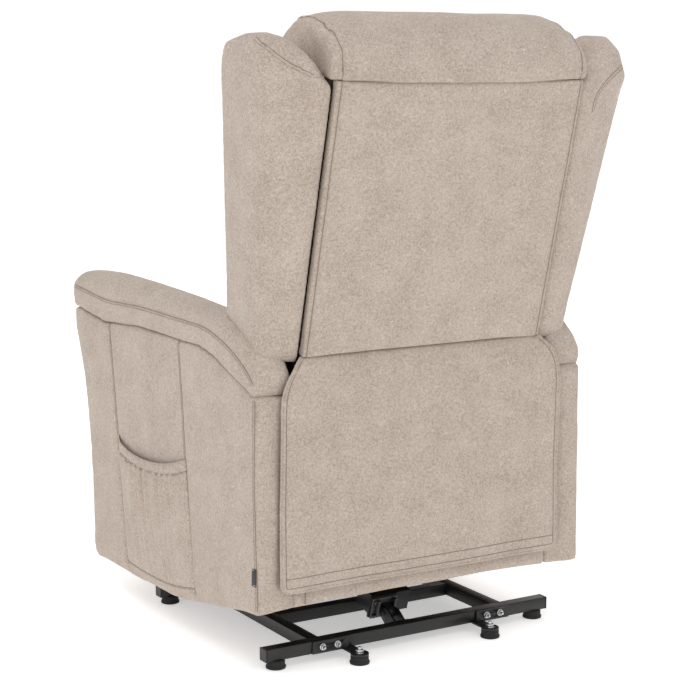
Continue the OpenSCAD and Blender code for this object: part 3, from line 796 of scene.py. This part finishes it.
def wing_form():
    """The wing's closed form: the hull of balls (x, y, z, radius) along its edges."""
    low = local_box("wing_left", BACK)[0]
    balls = [(wing_outer(z) - 7, 10 - WING_LEAN * (z - WING_FOOT), z, 8) for z in WING_LEVELS]
    balls += [(low.x + 2, 22, z, 5) for z in WING_ROOT_LEVELS]
    balls += [(wing_outer(z) - 8, y, z, 8) for y, z in WING_FRONT_EDGE]
    balls += [(*p, 12) for p in WING_DOME]
    balls += [(low.x + 12, y, z, 12) for y, z in WING_INNER]
    bm = bmesh.new()
    for x, y, z, radius in balls:
        bmesh.ops.create_icosphere(bm, subdivisions=2, radius=radius, matrix=Matrix.Translation((x, y, z)))
    hull = bmesh.ops.convex_hull(bm, input=bm.verts[:])
    inside = [g for g in hull["geom_interior"] + hull["geom_unused"] if isinstance(g, bmesh.types.BMVert)]
    bmesh.ops.delete(bm, geom=list(set(inside)), context="VERTS")
    bmesh.ops.transform(bm, matrix=BACK, verts=bm.verts)
    return bm


class RECLINER_OT_wings(bpy.types.Operator):
    """Cover both wings, with a topstitched ridge from the tip down to the inner corner"""

    bl_idname = "recliner.wings"
    bl_label = "Wings"

    def execute(self, context):
        rear_inner = carried(WING_REAR_SEAM, BACK)
        left = stuffed("wing_cover_left", wing_form(), [rear_inner], voxel=4.5, shrink=-1.0, cap=3.5,
                       smooth=2, groove=0)
        right = mirrored(left, "wing_cover_right")
        for piece, node, path, row in ((left, "wing_left", WING_SEAM_LEFT, 6),
                                       (right, "wing_right", WING_SEAM_RIGHT, -6)):
            ridge = carried(path, BACK)
            creased(piece, [ridge], 2.0)
            set_up(piece, "microfibre", "backrest", "upholstery", node)
            sew(node, piece, [ridge], (row,), "backrest")
        return {"FINISHED"}


LINING_FOOT = 90.0     # height of the lining's lower edge up the leaning back


class RECLINER_OT_back_panel(bpy.types.Operator):
    """Cover the rear of the backrest with a flat padded panel, topstitched down its sides"""

    bl_idname = "recliner.back_panel"
    bl_label = "Rear Panel"

    def execute(self, context):
        low, high = PANEL
        edge_x = high.x - 9
        levels = (high.z - 2, (low.z + high.z) / 2, low.z + 2)
        sides = [carried([(x, high.y, z) for z in levels], BACK) for x in (edge_x, -edge_x)]
        panel = stuffed("back_panel_cover", cad_copy("back_panel", 3 * MM), sides, voxel=4.5, shrink=-0.5,
                        cap=3, smooth=1, groove=1.0)
        set_up(panel, "microfibre", "backrest", "upholstery", "back_panel")
        sew("back_panel", panel, sides, (0,), "backrest")
        # black lining cloth closes the wooden frame behind the panel; its near-black colour is also painted
        # shade for the gap beside the wings, where it shows
        low, high = local_box("back_frame", BACK)
        size = Vector((high.x - low.x + 1, PANEL[0].y + 1 - low.y, high.z - LINING_FOOT))
        middle = Vector((0, (low.y + PANEL[0].y) / 2, (high.z + LINING_FOOT) / 2))
        lining = made_object("back_lining", rounded_block(size, BACK @ Matrix.Translation(middle), 2))
        set_up(lining, "black_lining", "backrest", "woven_label")
        return {"FINISHED"}


# Profile of the head pillow, [y, z] up the leaning back, and how its ends round off
PILLOW_PROFILE = [(38, 737), (38, 768), (26, 796), (-6, 820), (-50, 832), (-95, 834), (-138, 821),
                  (-168, 789), (-183, 735), (-182, 660), (-171, 612), (-148, 574), (-80, 570), (-14, 572),
                  (-14, 660), (-12, 736)]
PILLOW_SEAM_Z = 741.0
PILLOW_MIDDLE_Y = -60.0
PILLOW_END = 74.0
PILLOW_HALF = 284.0
PILLOW_SEAM_IN = 22         # how far inside each end its seam runs
PILLOW_SEAM_POINTS = 12     # how many of the profile's points the seam follows
GATHER_REACH = 55
GATHER_DEPTH = 3.2


def pillow_ring(x):
    """One cross-section of the head pillow, smaller towards its rounded ends."""
    t = max(0.0, (abs(x) - (PILLOW_HALF - PILLOW_END)) / PILLOW_END)
    tuck = 1 - max(0.0, 1 - t ** 2.4) ** (1 / 2.4)
    ring = []
    for y, z in PILLOW_PROFILE:
        keep = 1 - (0.55 if z > PILLOW_SEAM_Z else 0.15) * tuck
        y = PILLOW_MIDDLE_Y + (y - PILLOW_MIDDLE_Y) * (1 - 0.1 * tuck)
        ring.append((x, y, PILLOW_SEAM_Z + (z - PILLOW_SEAM_Z) * keep))
    return ring


class RECLINER_OT_head_pillow(bpy.types.Operator):
    """Make the head pillow: a full roll over the top of the back, gathered at its end seams"""

    bl_idname = "recliner.head_pillow"
    bl_label = "Head Pillow"

    def execute(self, context):
        stations = [PILLOW_HALF * s for s in (-0.7, -0.5, -0.25, 0, 0.25, 0.5, 0.7)]
        ends = [PILLOW_HALF - PILLOW_END * (1 - math.sin(math.radians(a))) for a in (20, 42, 60, 75, 86)]
        rows = sorted([-x for x in ends] + stations + ends)
        # the end seams run from the rear panel over the top and down the front to the pillow's foot
        seam = [BACK @ p for p in smooth_path(pillow_ring(PILLOW_HALF - PILLOW_SEAM_IN)[:PILLOW_SEAM_POINTS])]
        seams = [seam, mirror_path(seam)]
        pillow = stuffed("head_pillow_cover", loft([pillow_ring(x) for x in rows], BACK), seams,
                         voxel=6, shrink=1.5, cap=9, smooth=2, groove=2.5, ripple=1.5)
        self.gather(pillow, seams)
        set_up(pillow, "microfibre", "backrest", "upholstery", "head_pillow")
        sew("head_pillow", pillow, seams, (), "backrest")
        return {"FINISHED"}

    def gather(self, pillow, seams):
        """Draws short folds into the cloth on the inner side of each end seam."""
        points, normals = coordinates(pillow.data), vertex_normals(pillow.data)
        for seam in seams:
            path = np.array(seam)
            gaps = np.linalg.norm(points[:, None, :] - path[None, ::2, :], axis=2)
            along = gaps.argmin(1) * 2
            near = gaps.min(1)
            inside = np.abs(points[:, 0]) < abs(seam[0].x)
            fade = np.clip(1 - near / (GATHER_REACH * MM), 0, 1) ** 1.5 * inside
            fold = np.sin(along * 0.9) * (0.5 + 0.5 * np.sin(along * 0.37 + 1.0))
            points = points + normals * (fold * fade * GATHER_DEPTH * MM)[:, None]
        move_to(pillow.data, points)


def cushion(name, node, body, edge, seams, fill, **how):
    """A loose cushion that stands for a CAD solid."""
    piece = stuffed(name, cad_copy(node, edge * MM), seams, **how)
    set_up(piece, "microfibre", body, "upholstery", node)
    return piece


class RECLINER_OT_back_cushions(bpy.types.Operator):
    """Make the lumbar cushion and the lower back cushion of the backrest"""

    bl_idname = "recliner.back_cushions"
    bl_label = "Back Cushions"

    def execute(self, context):
        for name, node in (("lumbar_cover", "lumbar_cushion"), ("lower_back_cover", "lower_back_cushion")):
            low, high = local_box(node, BACK)
            front, x = low.y + 14, PILLOW[1].x - 5
            profile = [(-24, low.z + 6), (front + 12, low.z + 20), (front, (low.z + high.z) / 2),
                       (front + 10, high.z - 20), (-24, high.z - 6)]
            sides = [carried([(s * x, *p) for p in profile], BACK) for s in (-1, 1)]
            piece = cushion(name, node, "backrest", 22, sides, 0.75, voxel=6, shrink=9, cap=22, ripple=2.0)
            sew(node, piece, sides, (), "backrest")
        return {"FINISHED"}


class RECLINER_OT_seat_cushion(bpy.types.Operator):
    """Make the seat cushion: a crowned top with a full front edge, seamed across behind it"""

    bl_idname = "recliner.seat_cushion"
    bl_label = "Seat Cushion"

    def execute(self, context):
        x = local_box("seat_cushion", CHAIR)[1].x - 14
        across = carried([(-x, -585, 468), (0, -585, 470), (x, -585, 468)], CHAIR)
        profile = [(-130, 420), (-400, 456), (-630, 468), (-700, 446)]
        seams = [across] + [carried([(s * x, *p) for p in profile], CHAIR) for s in (-1, 1)]
        piece = cushion("seat_cover", "seat_cushion", "seat", 20, seams, 0.75, voxel=6, shrink=8, cap=22,
                        groove=3.0, ripple=2.0)
        sew("seat_cushion", piece, seams, (5,), "seat")
        return {"FINISHED"}


class RECLINER_OT_footrest_pad(bpy.types.Operator):
    """Make the footrest pad, quilted across its middle"""

    bl_idname = "recliner.footrest_pad"
    bl_label = "Footrest Pad"

    def execute(self, context):
        low, high = local_box("footrest_pad", CHAIR)
        x, middle = high.x - 12, (low.z + high.z) / 2
        across = carried([(s * x, low.y, middle) for s in (-1, 0, 1)], CHAIR)
        piece = cushion("footrest_cover", "footrest_pad", "footrest", 12, [across], 0.8, voxel=6, shrink=5,
                        cap=12, groove=4.0, ripple=1.0)
        sew("footrest_pad", piece, [across], (5, -5), "footrest")
        return {"FINISHED"}


# The rear curtain: where its upper seam lies in the upright chair, how far it hangs and how it slopes
FLAP_TOP = (86.0, 524.0)
FLAP_DROP = 438.0
FLAP_SLOPE = math.radians(3.4)
FLAP_HALF = 318.0
FLAP_SHOULDER = 110.0
FLAP_CORNER = 16.0
FLAP_THICK = 2.2
FLAP_SKEW = 9.0
FLAP_BINDING = 2.3    # radius of the bound edge
FLAP_STITCH_IN = 9    # from the edge to the topstitch that runs round it
FLAP_HEM = 27         # from the lower edge to the hem's topstitch
FLAP_BEND_FOOT = 330  # a depth down the curtain, kept in the bend tuple that sew only tests for being set


def flap_half_width(down):
    """Half of the curtain's width at a distance down from its upper seam."""
    top = PANEL[1].x
    rise = math.sin(min(down / FLAP_SHOULDER, 1) * math.pi / 2)
    half = FLAP_HALF - (FLAP_HALF - top) * (1 - rise) ** 1.6
    corner = max(0.0, down - (FLAP_DROP - FLAP_CORNER))
    return half - FLAP_CORNER + math.sqrt(max(0.0, FLAP_CORNER ** 2 - corner ** 2))


def flap_point(across, down, swing):
    """A point of the curtain; across runs from -1 to 1."""
    x = across * flap_half_width(down) + FLAP_SKEW * down / FLAP_DROP
    loose = math.sin(math.pi * down / 300) if down < 150 else 1.0
    wave = (math.sin(x / 61 + 0.6 + down / 260) * 0.45 + math.sin(x / 27 + 2 + down / 190) * 0.2
            + noise.noise(Vector((x, down * 0.6, 0)) / 85) * 0.9) * swing / MM * loose
    # the cloth rolls out of its seam and then hangs at the slope
    y = FLAP_TOP[0] - down * math.sin(FLAP_SLOPE) + wave + 5.5 * (1 - math.exp(-down / 12))
    # its shoulders lie over the ends of the arms, and lower down its side edges turn in
    shoulder = min(1.0, max(0.0, (abs(x) - 262) / 30))
    y += 9 * shoulder * math.exp(-(down / 190) ** 2) * min(1.0, down / 25)
    y -= 4 * max(0.0, abs(across) - 0.93) / 0.07 * min(1.0, down / 300) ** 2
    return CHAIR @ Vector((x, y, FLAP_TOP[1] - down * math.cos(FLAP_SLOPE)))


class RECLINER_OT_rear_flap(bpy.types.Operator):
    """Hang the cloth curtain between the rear panel and the rear rail, bound along its free edges"""

    bl_idname = "recliner.rear_flap"
    bl_label = "Rear Curtain"

    def execute(self, context):
        swing = context.scene.recliner_looks.flap_swing
        bm = bmesh.new()
        bmesh.ops.create_grid(bm, x_segments=120, y_segments=84, size=1)
        for v in bm.verts:
            v.co = flap_point(v.co.x, (1 - v.co.y) / 2 * FLAP_DROP, swing)
        flap = made_object("rear_flap_cloth", bm)
        thickened(flap, FLAP_THICK)
        bend = ("seat", "backrest", flap_point(0, FLAP_BEND_FOOT, 0), flap_point(0, 0, 0))
        set_up(flap, "microfibre", None, "upholstery", "rear_flap")

        downs = [FLAP_DROP * (i / 60) for i in range(61)]
        edge = ([flap_point(-1, d, swing) for d in downs]
                + [flap_point(a / 20, FLAP_DROP, swing) for a in range(-19, 20)]
                + [flap_point(1, d, swing) for d in reversed(downs)])
        binding = threads("rear_flap_binding", [edge], FLAP_BINDING * MM)
        set_up(binding, "microfibre", None, "upholstery")
        inside = 1 - FLAP_STITCH_IN / FLAP_HALF
        hem = FLAP_DROP - FLAP_STITCH_IN
        down_side = [d for d in downs if 6 < d < hem]
        round_row = ([flap_point(-inside, d, swing) for d in down_side]
                     + [flap_point(inside * a / 20, hem, swing) for a in range(-20, 21)]
                     + [flap_point(inside, d, swing) for d in reversed(down_side)])
        hem_row = [flap_point(inside * a / 20, FLAP_DROP - FLAP_HEM, swing) for a in range(-20, 21)]
        out = (CHAIR.to_3x3() @ Vector((0, 1, 0))).normalized() * 2 * MM
        for piece in (flap, binding):
            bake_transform(piece)
        for name, row in (("rear_flap", round_row), ("rear_flap_hem", hem_row)):
            sew(name, flap, [[p + out for p in row]], (0,), None, bend)
        return {"FINISHED"}


class RECLINER_OT_rear_rail(bpy.types.Operator):
    """Cover the low rail behind the curtain"""

    bl_idname = "recliner.rear_rail"
    bl_label = "Rear Rail"

    def execute(self, context):
        low, high = RAIL
        fold = carried([(high.x - 26, high.y, low.z + 2), (high.x - 27, high.y, high.z - 2)], CHAIR)
        rail = cushion("rear_rail_cover", "rear_rail", "seat", 3, [fold], 0.7, voxel=5, shrink=-1, cap=3,
                       smooth=2, ripple=1.6)
        sew("rear_rail", rail, [fold], (), "seat")
        return {"FINISHED"}


# The pocket's mouth and foot, [y, z] in the upright chair, from its front seam to its rear seam
POCKET_MOUTH = [(-538, 345), (-524, 334), (-490, 322), (-455, 313), (-386, 304), (-314, 303), (-250, 310),
                (-216, 318)]
POCKET_FOOT = [(-527, 69), (-422, 57), (-316, 50), (-208, 56)]
POCKET_BAND = 20.0        # width of the elastic band under the mouth
POCKET_DEEP = 8.0
POCKET_THICK = 1.8
POCKET_HEM = 1.9          # radius of the mouth's rolled hem
POCKET_BAND_SPAN = 255    # mouth to foot where the band is measured
POCKET_FOOT_ROW = 0.965   # share of the way down of the foot's topstitch


def along_polyline(points, share):
    """The point at a share of a polyline's length."""
    path = smooth_path([Vector((0, *p)) for p in points], 4)
    place = share * (len(path) - 1)
    i = min(int(place), len(path) - 2)
    return path[i].lerp(path[i + 1], place - i)


def pocket_point(across, down):
    """A point of the pocket cloth; across runs from its front to its rear seam, down from mouth to foot."""
    mouth, foot = along_polyline(POCKET_MOUTH, across), along_polyline(POCKET_FOOT, across)
    at = mouth.lerp(foot, down)
    from_mouth = (mouth - at).length
    belly = math.sin(math.pi * across) ** 0.6 * (1 - down ** 3) ** 0.8
    gather = math.exp(-from_mouth / 120) * math.sin(math.pi * min(1, across * 1.15)) ** 0.5
    phase = across * 68 + 1.6 * math.sin(across * 17) + 0.5 * math.sin(from_mouth / 60)
    if from_mouth < POCKET_BAND:  # the elastic hem ruffles finely
        fold = 0.8 * math.sin(phase * 1.9) * math.sin(math.pi * across)
    else:
        fold = (5.5 * math.sin(phase) + 2.2 * math.sin(phase * 0.53 + 1)) * gather
    pinch = 1.6 * math.exp(-((from_mouth - POCKET_BAND) / 4) ** 2)
    clear = 5 * min(1.0, 14 * across * (1 - across)) * min(1.0, 12 * (1 - down))
    depth = 2 + clear + POCKET_DEEP * belly + fold - pinch * math.sin(math.pi * across)
    return Vector((ARM_OUT + max(0.8, depth), at.y, at.z))


class RECLINER_OT_side_pocket(bpy.types.Operator):
    """Sew the gathered pocket on the outside of the left arm"""

    bl_idname = "recliner.side_pocket"
    bl_label = "Side Pocket"

    def execute(self, context):
        bm = bmesh.new()
        bmesh.ops.create_grid(bm, x_segments=160, y_segments=100, size=1)
        for v in bm.verts:
            v.co = pocket_point((1 + v.co.x) / 2, (1 - v.co.y) / 2)
        cloth = made_object("side_pocket_cloth", bm, CHAIR)
        thickened(cloth, POCKET_THICK)
        set_up(cloth, "microfibre", "seat", "upholstery", "side_pocket")
        steps = [i / 40 for i in range(41)]
        hem, band, foot = [[CHAIR @ (pocket_point(s, down) + Vector(off)) for s in steps] for down, off in (
            (0, (0, 0, 1)), (POCKET_BAND / POCKET_BAND_SPAN, (1.2, 0, 0)), (POCKET_FOOT_ROW, (1, 0, 0)))]
        rim = threads("side_pocket_hem", [hem], POCKET_HEM * MM)
        set_up(rim, "microfibre", "seat", "upholstery")
        sew("side_pocket", cloth, [band, foot], (3,), "seat")
        return {"FINISHED"}


class RECLINER_OT_label(bpy.types.Operator):
    """Fold a plain woven label into the rear seam of the left arm"""

    bl_idname = "recliner.label"
    bl_label = "Woven Label"

    def execute(self, context):
        bm = cad_copy("arm_label", 0)
        bmesh.ops.bevel(bm, geom=bm.edges[:], offset=0.4 * MM, offset_type="OFFSET", segments=2, profile=0.5,
                        affect="EDGES", material=-1)
        # its free end stands a little further out than the solid's
        wider = Matrix.Translation((1.2, LABEL[1].y, 0)) @ Matrix.Diagonal((1, 1.5, 1, 1))
        wider = CHAIR @ wider @ Matrix.Translation((0, -LABEL[1].y, 0)) @ CHAIR.inverted()
        bmesh.ops.transform(bm, matrix=wider, verts=bm.verts)
        set_up(made_object("woven_arm_label", bm), "woven_label", "seat", "woven_label", "arm_label")
        low, high = LABEL
        rows = [[CHAIR @ Vector((high.x + 1.2, low.y + y - (z - low.z) * 0.1, z)) for y in (1.5, 10)]
                for z in (low.z + 3, high.z - 3)]
        set_up(threads("arm_label_stitches", rows, 0.35 * MM), "lining_cloth", "seat", "woven_label")
        return {"FINISHED"}


# ---- floor frame, motor and mechanism ----
def turned(profile, place):
    """A form turned on a lathe: its profile, [radius, height] in mm, is spun round Z and stood at place."""
    bm = bmesh.new()
    verts = [bm.verts.new((r, 0, z)) for r, z in profile]
    edges = [bm.edges.new(pair) for pair in zip(verts, verts[1:])]
    bmesh.ops.spin(bm, geom=verts + edges, cent=(0, 0, 0), axis=(0, 0, 1), angle=math.tau, steps=40,
                   use_merge=True, dvec=(0, 0, 0))
    bmesh.ops.remove_doubles(bm, verts=bm.verts, dist=0.01)
    bmesh.ops.transform(bm, matrix=place, verts=bm.verts)
    return bm


def merged(name, parts):
    """One object of several bmeshes."""
    whole = bmesh.new()
    for part in parts:
        mesh = bpy.data.meshes.new("part")
        bmesh.ops.recalc_face_normals(part, faces=part.faces)
        part.to_mesh(mesh)
        part.free()
        whole.from_mesh(mesh)
        bpy.data.meshes.remove(mesh)
    mesh = bpy.data.meshes.new(name)
    whole.to_mesh(mesh)
    whole.free()
    return linked(name, mesh)


FOOT_PROFILE = [(0.02, 0), (17.5, 0), (19.2, 0.8), (19.6, 2.2), (19.4, 5), (18.2, 6.2), (17.8, 8),
                (17.8, 15.6), (17.2, 17), (0.02, 17)]


def feet_of(name, node, body):
    """Turned rubber feet where a CAD node's feet are."""
    points = {}
    for v in frame["nodes"][node].data.vertices:
        key = (v.co.x > 0, v.co.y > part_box(node)[0].y + 0.1)
        points.setdefault(key, []).append(v.co)
    feet = []
    for group in points.values():
        low = [min(p[i] for p in group) for i in range(2)]
        high = [max(p[i] for p in group) for i in range(2)]
        middle = Vector(((low[0] + high[0]) / 2, (low[1] + high[1]) / 2, 0))
        feet.append(turned(FOOT_PROFILE, Matrix.Translation(middle) @ FLOOR))
    set_up(merged(name, feet), "moulded_rubber", body, "black_rubber", node)


def hex_bolt(place, radius):
    """A hexagon nut on its washer, with the threaded end of the bolt standing out of it."""
    nut = bmesh.new()
    bmesh.ops.create_cone(nut, cap_ends=True, segments=6, radius1=1.9 * radius, radius2=1.9 * radius,
                          depth=1.4 * radius, matrix=Matrix.Translation((0, 0, 1 + 0.7 * radius)))
    bmesh.ops.bevel(nut, geom=nut.edges[:], offset=0.25, offset_type="OFFSET", segments=2, profile=0.5,
                    affect="EDGES", material=-1)
    bmesh.ops.transform(nut, matrix=place, verts=nut.verts)
    washer = turned([(radius * 0.9, 0.1), (2.25 * radius, 0.1), (2.3 * radius, 0.6), (2.2 * radius, 1.1),
                     (radius * 0.9, 1.1)], place)
    top = 1 + 1.4 * radius
    thread_end = [(0.02, top - 1)]
    for i in range(6):
        thread_end += [(radius * 0.88, top + i * 0.8), (radius, top + i * 0.8 + 0.4)]
    thread_end += [(radius * 0.7, top + 5.2), (0.02, top + 5.4)]
    return [nut, washer, turned(thread_end, place)]


class RECLINER_OT_floor_frame(bpy.types.Operator):
    """Finish the welded floor frame, its end caps, feet, stabilisers and bolts"""

    bl_idname = "recliner.floor_frame"
    bl_label = "Floor Frame"

    def execute(self, context):
        dress("powder_coated_tube", "frame_tube", 1.6, "base_rear_tube", "base_front_tube", "base_side_tubes",
              "base_mid_tube")
        dress("powder_coated_tube", "frame_tube", 0.8, "stabiliser_brackets", "lift_pivot_brackets",
              "guide_brackets", "motor_clevis")
        dress("black_abs", "black_plastic", 0.8, "tube_end_caps")
        dress("turned_steel", "bright_steel", 0.5, "lift_pivot_pins")
        feet_of("rubber_feet", "base_feet", "base")
        feet_of("stabiliser_rubber_feet", "stabiliser_feet", "base")
        foot_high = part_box("stabiliser_feet")[1]
        tube_low, tube_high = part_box("base_rear_tube")
        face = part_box("stabiliser_brackets")[0].y / MM + 4
        level = (tube_low.z + tube_high.z) / 2 / MM
        sideways = Matrix.Rotation(-math.pi / 2, 4, "X")
        arm_x, arm_y = foot_high.x / MM - 19, foot_high.y / MM - 19
        parts = []
        for side in (-1, 1):
            for offset in (29, 62):
                at = Matrix.Translation((side * (arm_x - 6 + offset), face, level)) @ sideways
                parts += hex_bolt(FLOOR @ at, 3)
            at = Matrix.Translation((side * arm_x, arm_y, foot_high.z / MM + 4))
            parts += hex_bolt(FLOOR @ at, 4)
        set_up(merged("stabiliser_nuts", parts), "zinc_plated_bolt", "base", "zinc_bolt", "stabiliser_bolts")
        return {"FINISHED"}


def rounded_block(size, place, edge):
    """A block with eased edges, in millimetres."""
    bm = bmesh.new()
    bmesh.ops.create_cube(bm, size=1, matrix=Matrix.Diagonal((*size, 1)))
    bmesh.ops.bevel(bm, geom=bm.edges[:], offset=edge, offset_type="OFFSET", segments=3, profile=0.5,
                    affect="EDGES", material=-1)
    bmesh.ops.transform(bm, matrix=place, verts=bm.verts)
    return bm


SCREW_PROFILE = [(0.02, 3.6), (2.6, 3.4), (3.8, 2.4), (4.1, 0), (0.02, 0)]


class RECLINER_OT_lift_motor(bpy.types.Operator):
    """Finish the lift actuator and add its cast rear plate with the ribbed eye and screws"""

    bl_idname = "recliner.lift_motor"
    bl_label = "Lift Motor"

    def execute(self, context):
        dress("black_abs", "black_plastic", 3, "lift_motor_housing", "recline_motor_housing")
        dress("black_abs", "black_plastic", 1, "lift_outer_tube", "recline_outer_tube")
        dress("turned_steel", "bright_steel", 0.6, "lift_rod", "recline_rod")
        pivot = joint_of("lift_motor_swing", "pos_m")
        axis = joint_of("lift_rod_slide", "axis")
        up = Vector((1, 0, 0)).cross(axis).normalized()
        side = up.cross(axis).normalized()
        turn = Matrix((axis, side, up)).transposed().to_4x4()
        middle_x = (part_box("lift_rod")[0].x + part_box("lift_rod")[1].x) / 2
        place = Matrix.Translation(Vector((middle_x, pivot.y, pivot.z))) @ turn @ FLOOR
        parts = [rounded_block((5, 58, 46), place @ Matrix.Translation((22.5, 0, 1)), 1.8)]
        for s in (-1, 1):
            parts.append(rounded_block((13, 5, 36), place @ Matrix.Translation((15, s * 18, -3)), 1.2))
            for height in (-15, 17):
                screw = Matrix.Translation((18.5, s * 23, height)) @ Matrix.Rotation(-math.pi / 2, 4, "Y")
                parts.append(turned(SCREW_PROFILE, place @ screw))
        rib = bmesh.new()
        corners = ((14, -2.2), (14, 2.2), (20, 2.2), (20, -2.2))
        face = rib.faces.new([rib.verts.new((0, y, z)) for y, z in corners])
        bmesh.ops.spin(rib, geom=[face], cent=(0, 0, 0), axis=(1, 0, 0), angle=math.pi, steps=20,
                       use_merge=False, dvec=(0, 0, 0))
        bmesh.ops.transform(rib, matrix=place @ Matrix.Translation((17.5, 0, 0)), verts=rib.verts)
        parts.append(rib)
        set_up(merged("motor_rear_plate", parts), "cast_zinc_alloy", "lift_motor", "bright_steel")
        return {"FINISHED"}


class RECLINER_OT_mechanism(bpy.types.Operator):
    """Finish the lift linkage, the moving frame, the wooden frames and the springs"""

    bl_idname = "recliner.mechanism"
    bl_label = "Mechanism"

    def execute(self, context):
        dress("powder_coated_mechanism", "mechanism_steel", 0.8, "lift_bars", "lift_torque_tube",
              "guide_links", "lift_frame", "frame_pivot_plates", "mechanism_plates", "recline_motor_bracket",
              "back_hinge_plates", "legrest_upper_links", "legrest_lower_links", "footrest_board")
        dress("turned_steel", "bright_steel", 0.5, "frame_pins", "mechanism_pins", "legrest_pins")
        dress("sawn_pine", "wood_frame", 1.2, "seat_frame", "back_frame")
        dress("spring_steel", "spring_steel", 0.6, "seat_springs")
        return {"FINISHED"}


class RECLINER_OT_power(bpy.types.Operator):
    """Finish the control box, its inlet, the handset and its cradle and buttons"""

    bl_idname = "recliner.power"
    bl_label = "Power and Handset"

    def execute(self, context):
        dress("black_abs", "black_plastic", 2.0, "control_box", "handset_cradle")
        dress("black_abs", "black_plastic", 0.5, "power_inlet")
        dress("handset_abs", "handset_plastic", 4.0, "handset")
        dress("silicone_button", "button_plastic", 1.0, "button_up", "button_down")
        return {"FINISHED"}


# ---- stage ----
# name, place, point it is turned to, and power in watts
SOFTBOXES = (("key_softbox", (2.0, 1.6, 5.2), (0, 0, 0.7), 70),
             ("rear_softbox", (-1.8, 4.6, 3.0), (0, 0, 0.7), 10),
             ("front_softbox", (-2.5, -4.0, 3.2), (0, 0, 0.6), 40))
SOFTBOX_SIZE = 2.6


class RECLINER_OT_stage(bpy.types.Operator):
    """Lay the pale floor, light the studio and stand the camera"""

    bl_idname = "recliner.stage"
    bl_label = "Stage"

    def execute(self, context):
        stage = context.scene.recliner_stage
        scene = context.scene
        bm = bmesh.new()
        bmesh.ops.create_grid(bm, x_segments=1, y_segments=1, size=40)
        floor = made_object("studio_floor", bm)
        material, tree, shader, place = blank("pale_studio_floor")
        shade = add(tree, "ShaderNodeTexNoise", {"Vector": place, "Scale": 0.8})
        tone = add(tree, "ShaderNodeValToRGB", {"Fac": shade.outputs["Fac"]},
                   [(0.0, srgb("F6F5F4")), (1.0, srgb("FBFBFA"))])
        feed(tree, shader, {"Base Color": tone.outputs["Color"], "Roughness": 0.8,
                            "Emission Color": (1, 1, 1, 1), "Emission Strength": 0.45})
        floor.data.materials.append(material)
        world = bpy.data.worlds.new("white_room")
        world.use_nodes = True
        # the room lights the chair softly and is plain white behind it
        seen = add(world.node_tree, "ShaderNodeLightPath")
        room = add(world.node_tree, "ShaderNodeMapRange", {"Value": seen.outputs["Is Camera Ray"],
                                                           "To Min": stage.world_light, "To Max": 1.05})
        feed(world.node_tree, world.node_tree.nodes["Background"],
             {"Color": (1, 1, 1, 1), "Strength": room.outputs[0]})
        scene.world = world
        for name, at, aim, power in SOFTBOXES:
            light = bpy.data.lights.new(name, "AREA")
            light.size = SOFTBOX_SIZE
            light.energy = power
            lamp = linked(name, light)
            lamp.location = at
            lamp.rotation_mode = "QUATERNION"
            lamp.rotation_quaternion = (Vector(aim) - Vector(at)).to_track_quat("-Z", "Y")
        camera = linked("camera", bpy.data.cameras.new("camera"))
        camera.data.sensor_width = 36
        camera.data.lens = stage.lens
        turn, rise = stage.azimuth, stage.elevation
        back = Vector((math.sin(turn) * math.cos(rise), -math.cos(turn) * math.cos(rise), math.sin(rise)))
        camera.location = CAMERA_AT
        camera.rotation_mode = "QUATERNION"
        camera.rotation_quaternion = (-back).to_track_quat("-Z", "Y")
        scene.camera = camera
        scene.view_settings.view_transform = "Standard"
        return {"FINISHED"}


OPERATORS = (RECLINER_OT_stage, RECLINER_OT_floor_frame, RECLINER_OT_lift_motor, RECLINER_OT_mechanism,
             RECLINER_OT_power, RECLINER_OT_arms, RECLINER_OT_side_pocket, RECLINER_OT_label,
             RECLINER_OT_back_panel, RECLINER_OT_wings, RECLINER_OT_head_pillow, RECLINER_OT_back_cushions,
             RECLINER_OT_seat_cushion, RECLINER_OT_footrest_pad, RECLINER_OT_rear_rail, RECLINER_OT_rear_flap)


class RECLINER_PT_pieces(bpy.types.Panel):
    """Lists the pieces of the chair"""

    bl_label = "Lift Recliner"
    bl_idname = "RECLINER_PT_pieces"
    bl_space_type = "VIEW_3D"
    bl_region_type = "UI"
    bl_category = "Recliner"

    def draw(self, context):
        column = self.layout.column()
        for settings in (context.scene.recliner_looks, context.scene.recliner_stage):
            for key in settings.bl_rna.properties.keys():
                if key not in {"rna_type", "name"}:
                    column.prop(settings, key)
        for operator in OPERATORS:
            column.operator(operator.bl_idname)


CLASSES = (ReclinerLooks, ReclinerStage, *OPERATORS, RECLINER_PT_pieces)


def register():
    for cls in CLASSES:
        bpy.utils.register_class(cls)
    bpy.types.Scene.recliner_looks = PointerProperty(type=ReclinerLooks)
    bpy.types.Scene.recliner_stage = PointerProperty(type=ReclinerStage)


def unregister():
    del bpy.types.Scene.recliner_stage
    del bpy.types.Scene.recliner_looks
    for cls in reversed(CLASSES):
        bpy.utils.unregister_class(cls)


def main():
    register()
    for operator in OPERATORS:
        group, name = operator.bl_idname.split(".")
        getattr(getattr(bpy.ops, group), name)()


if __name__ == "__main__":
    main()
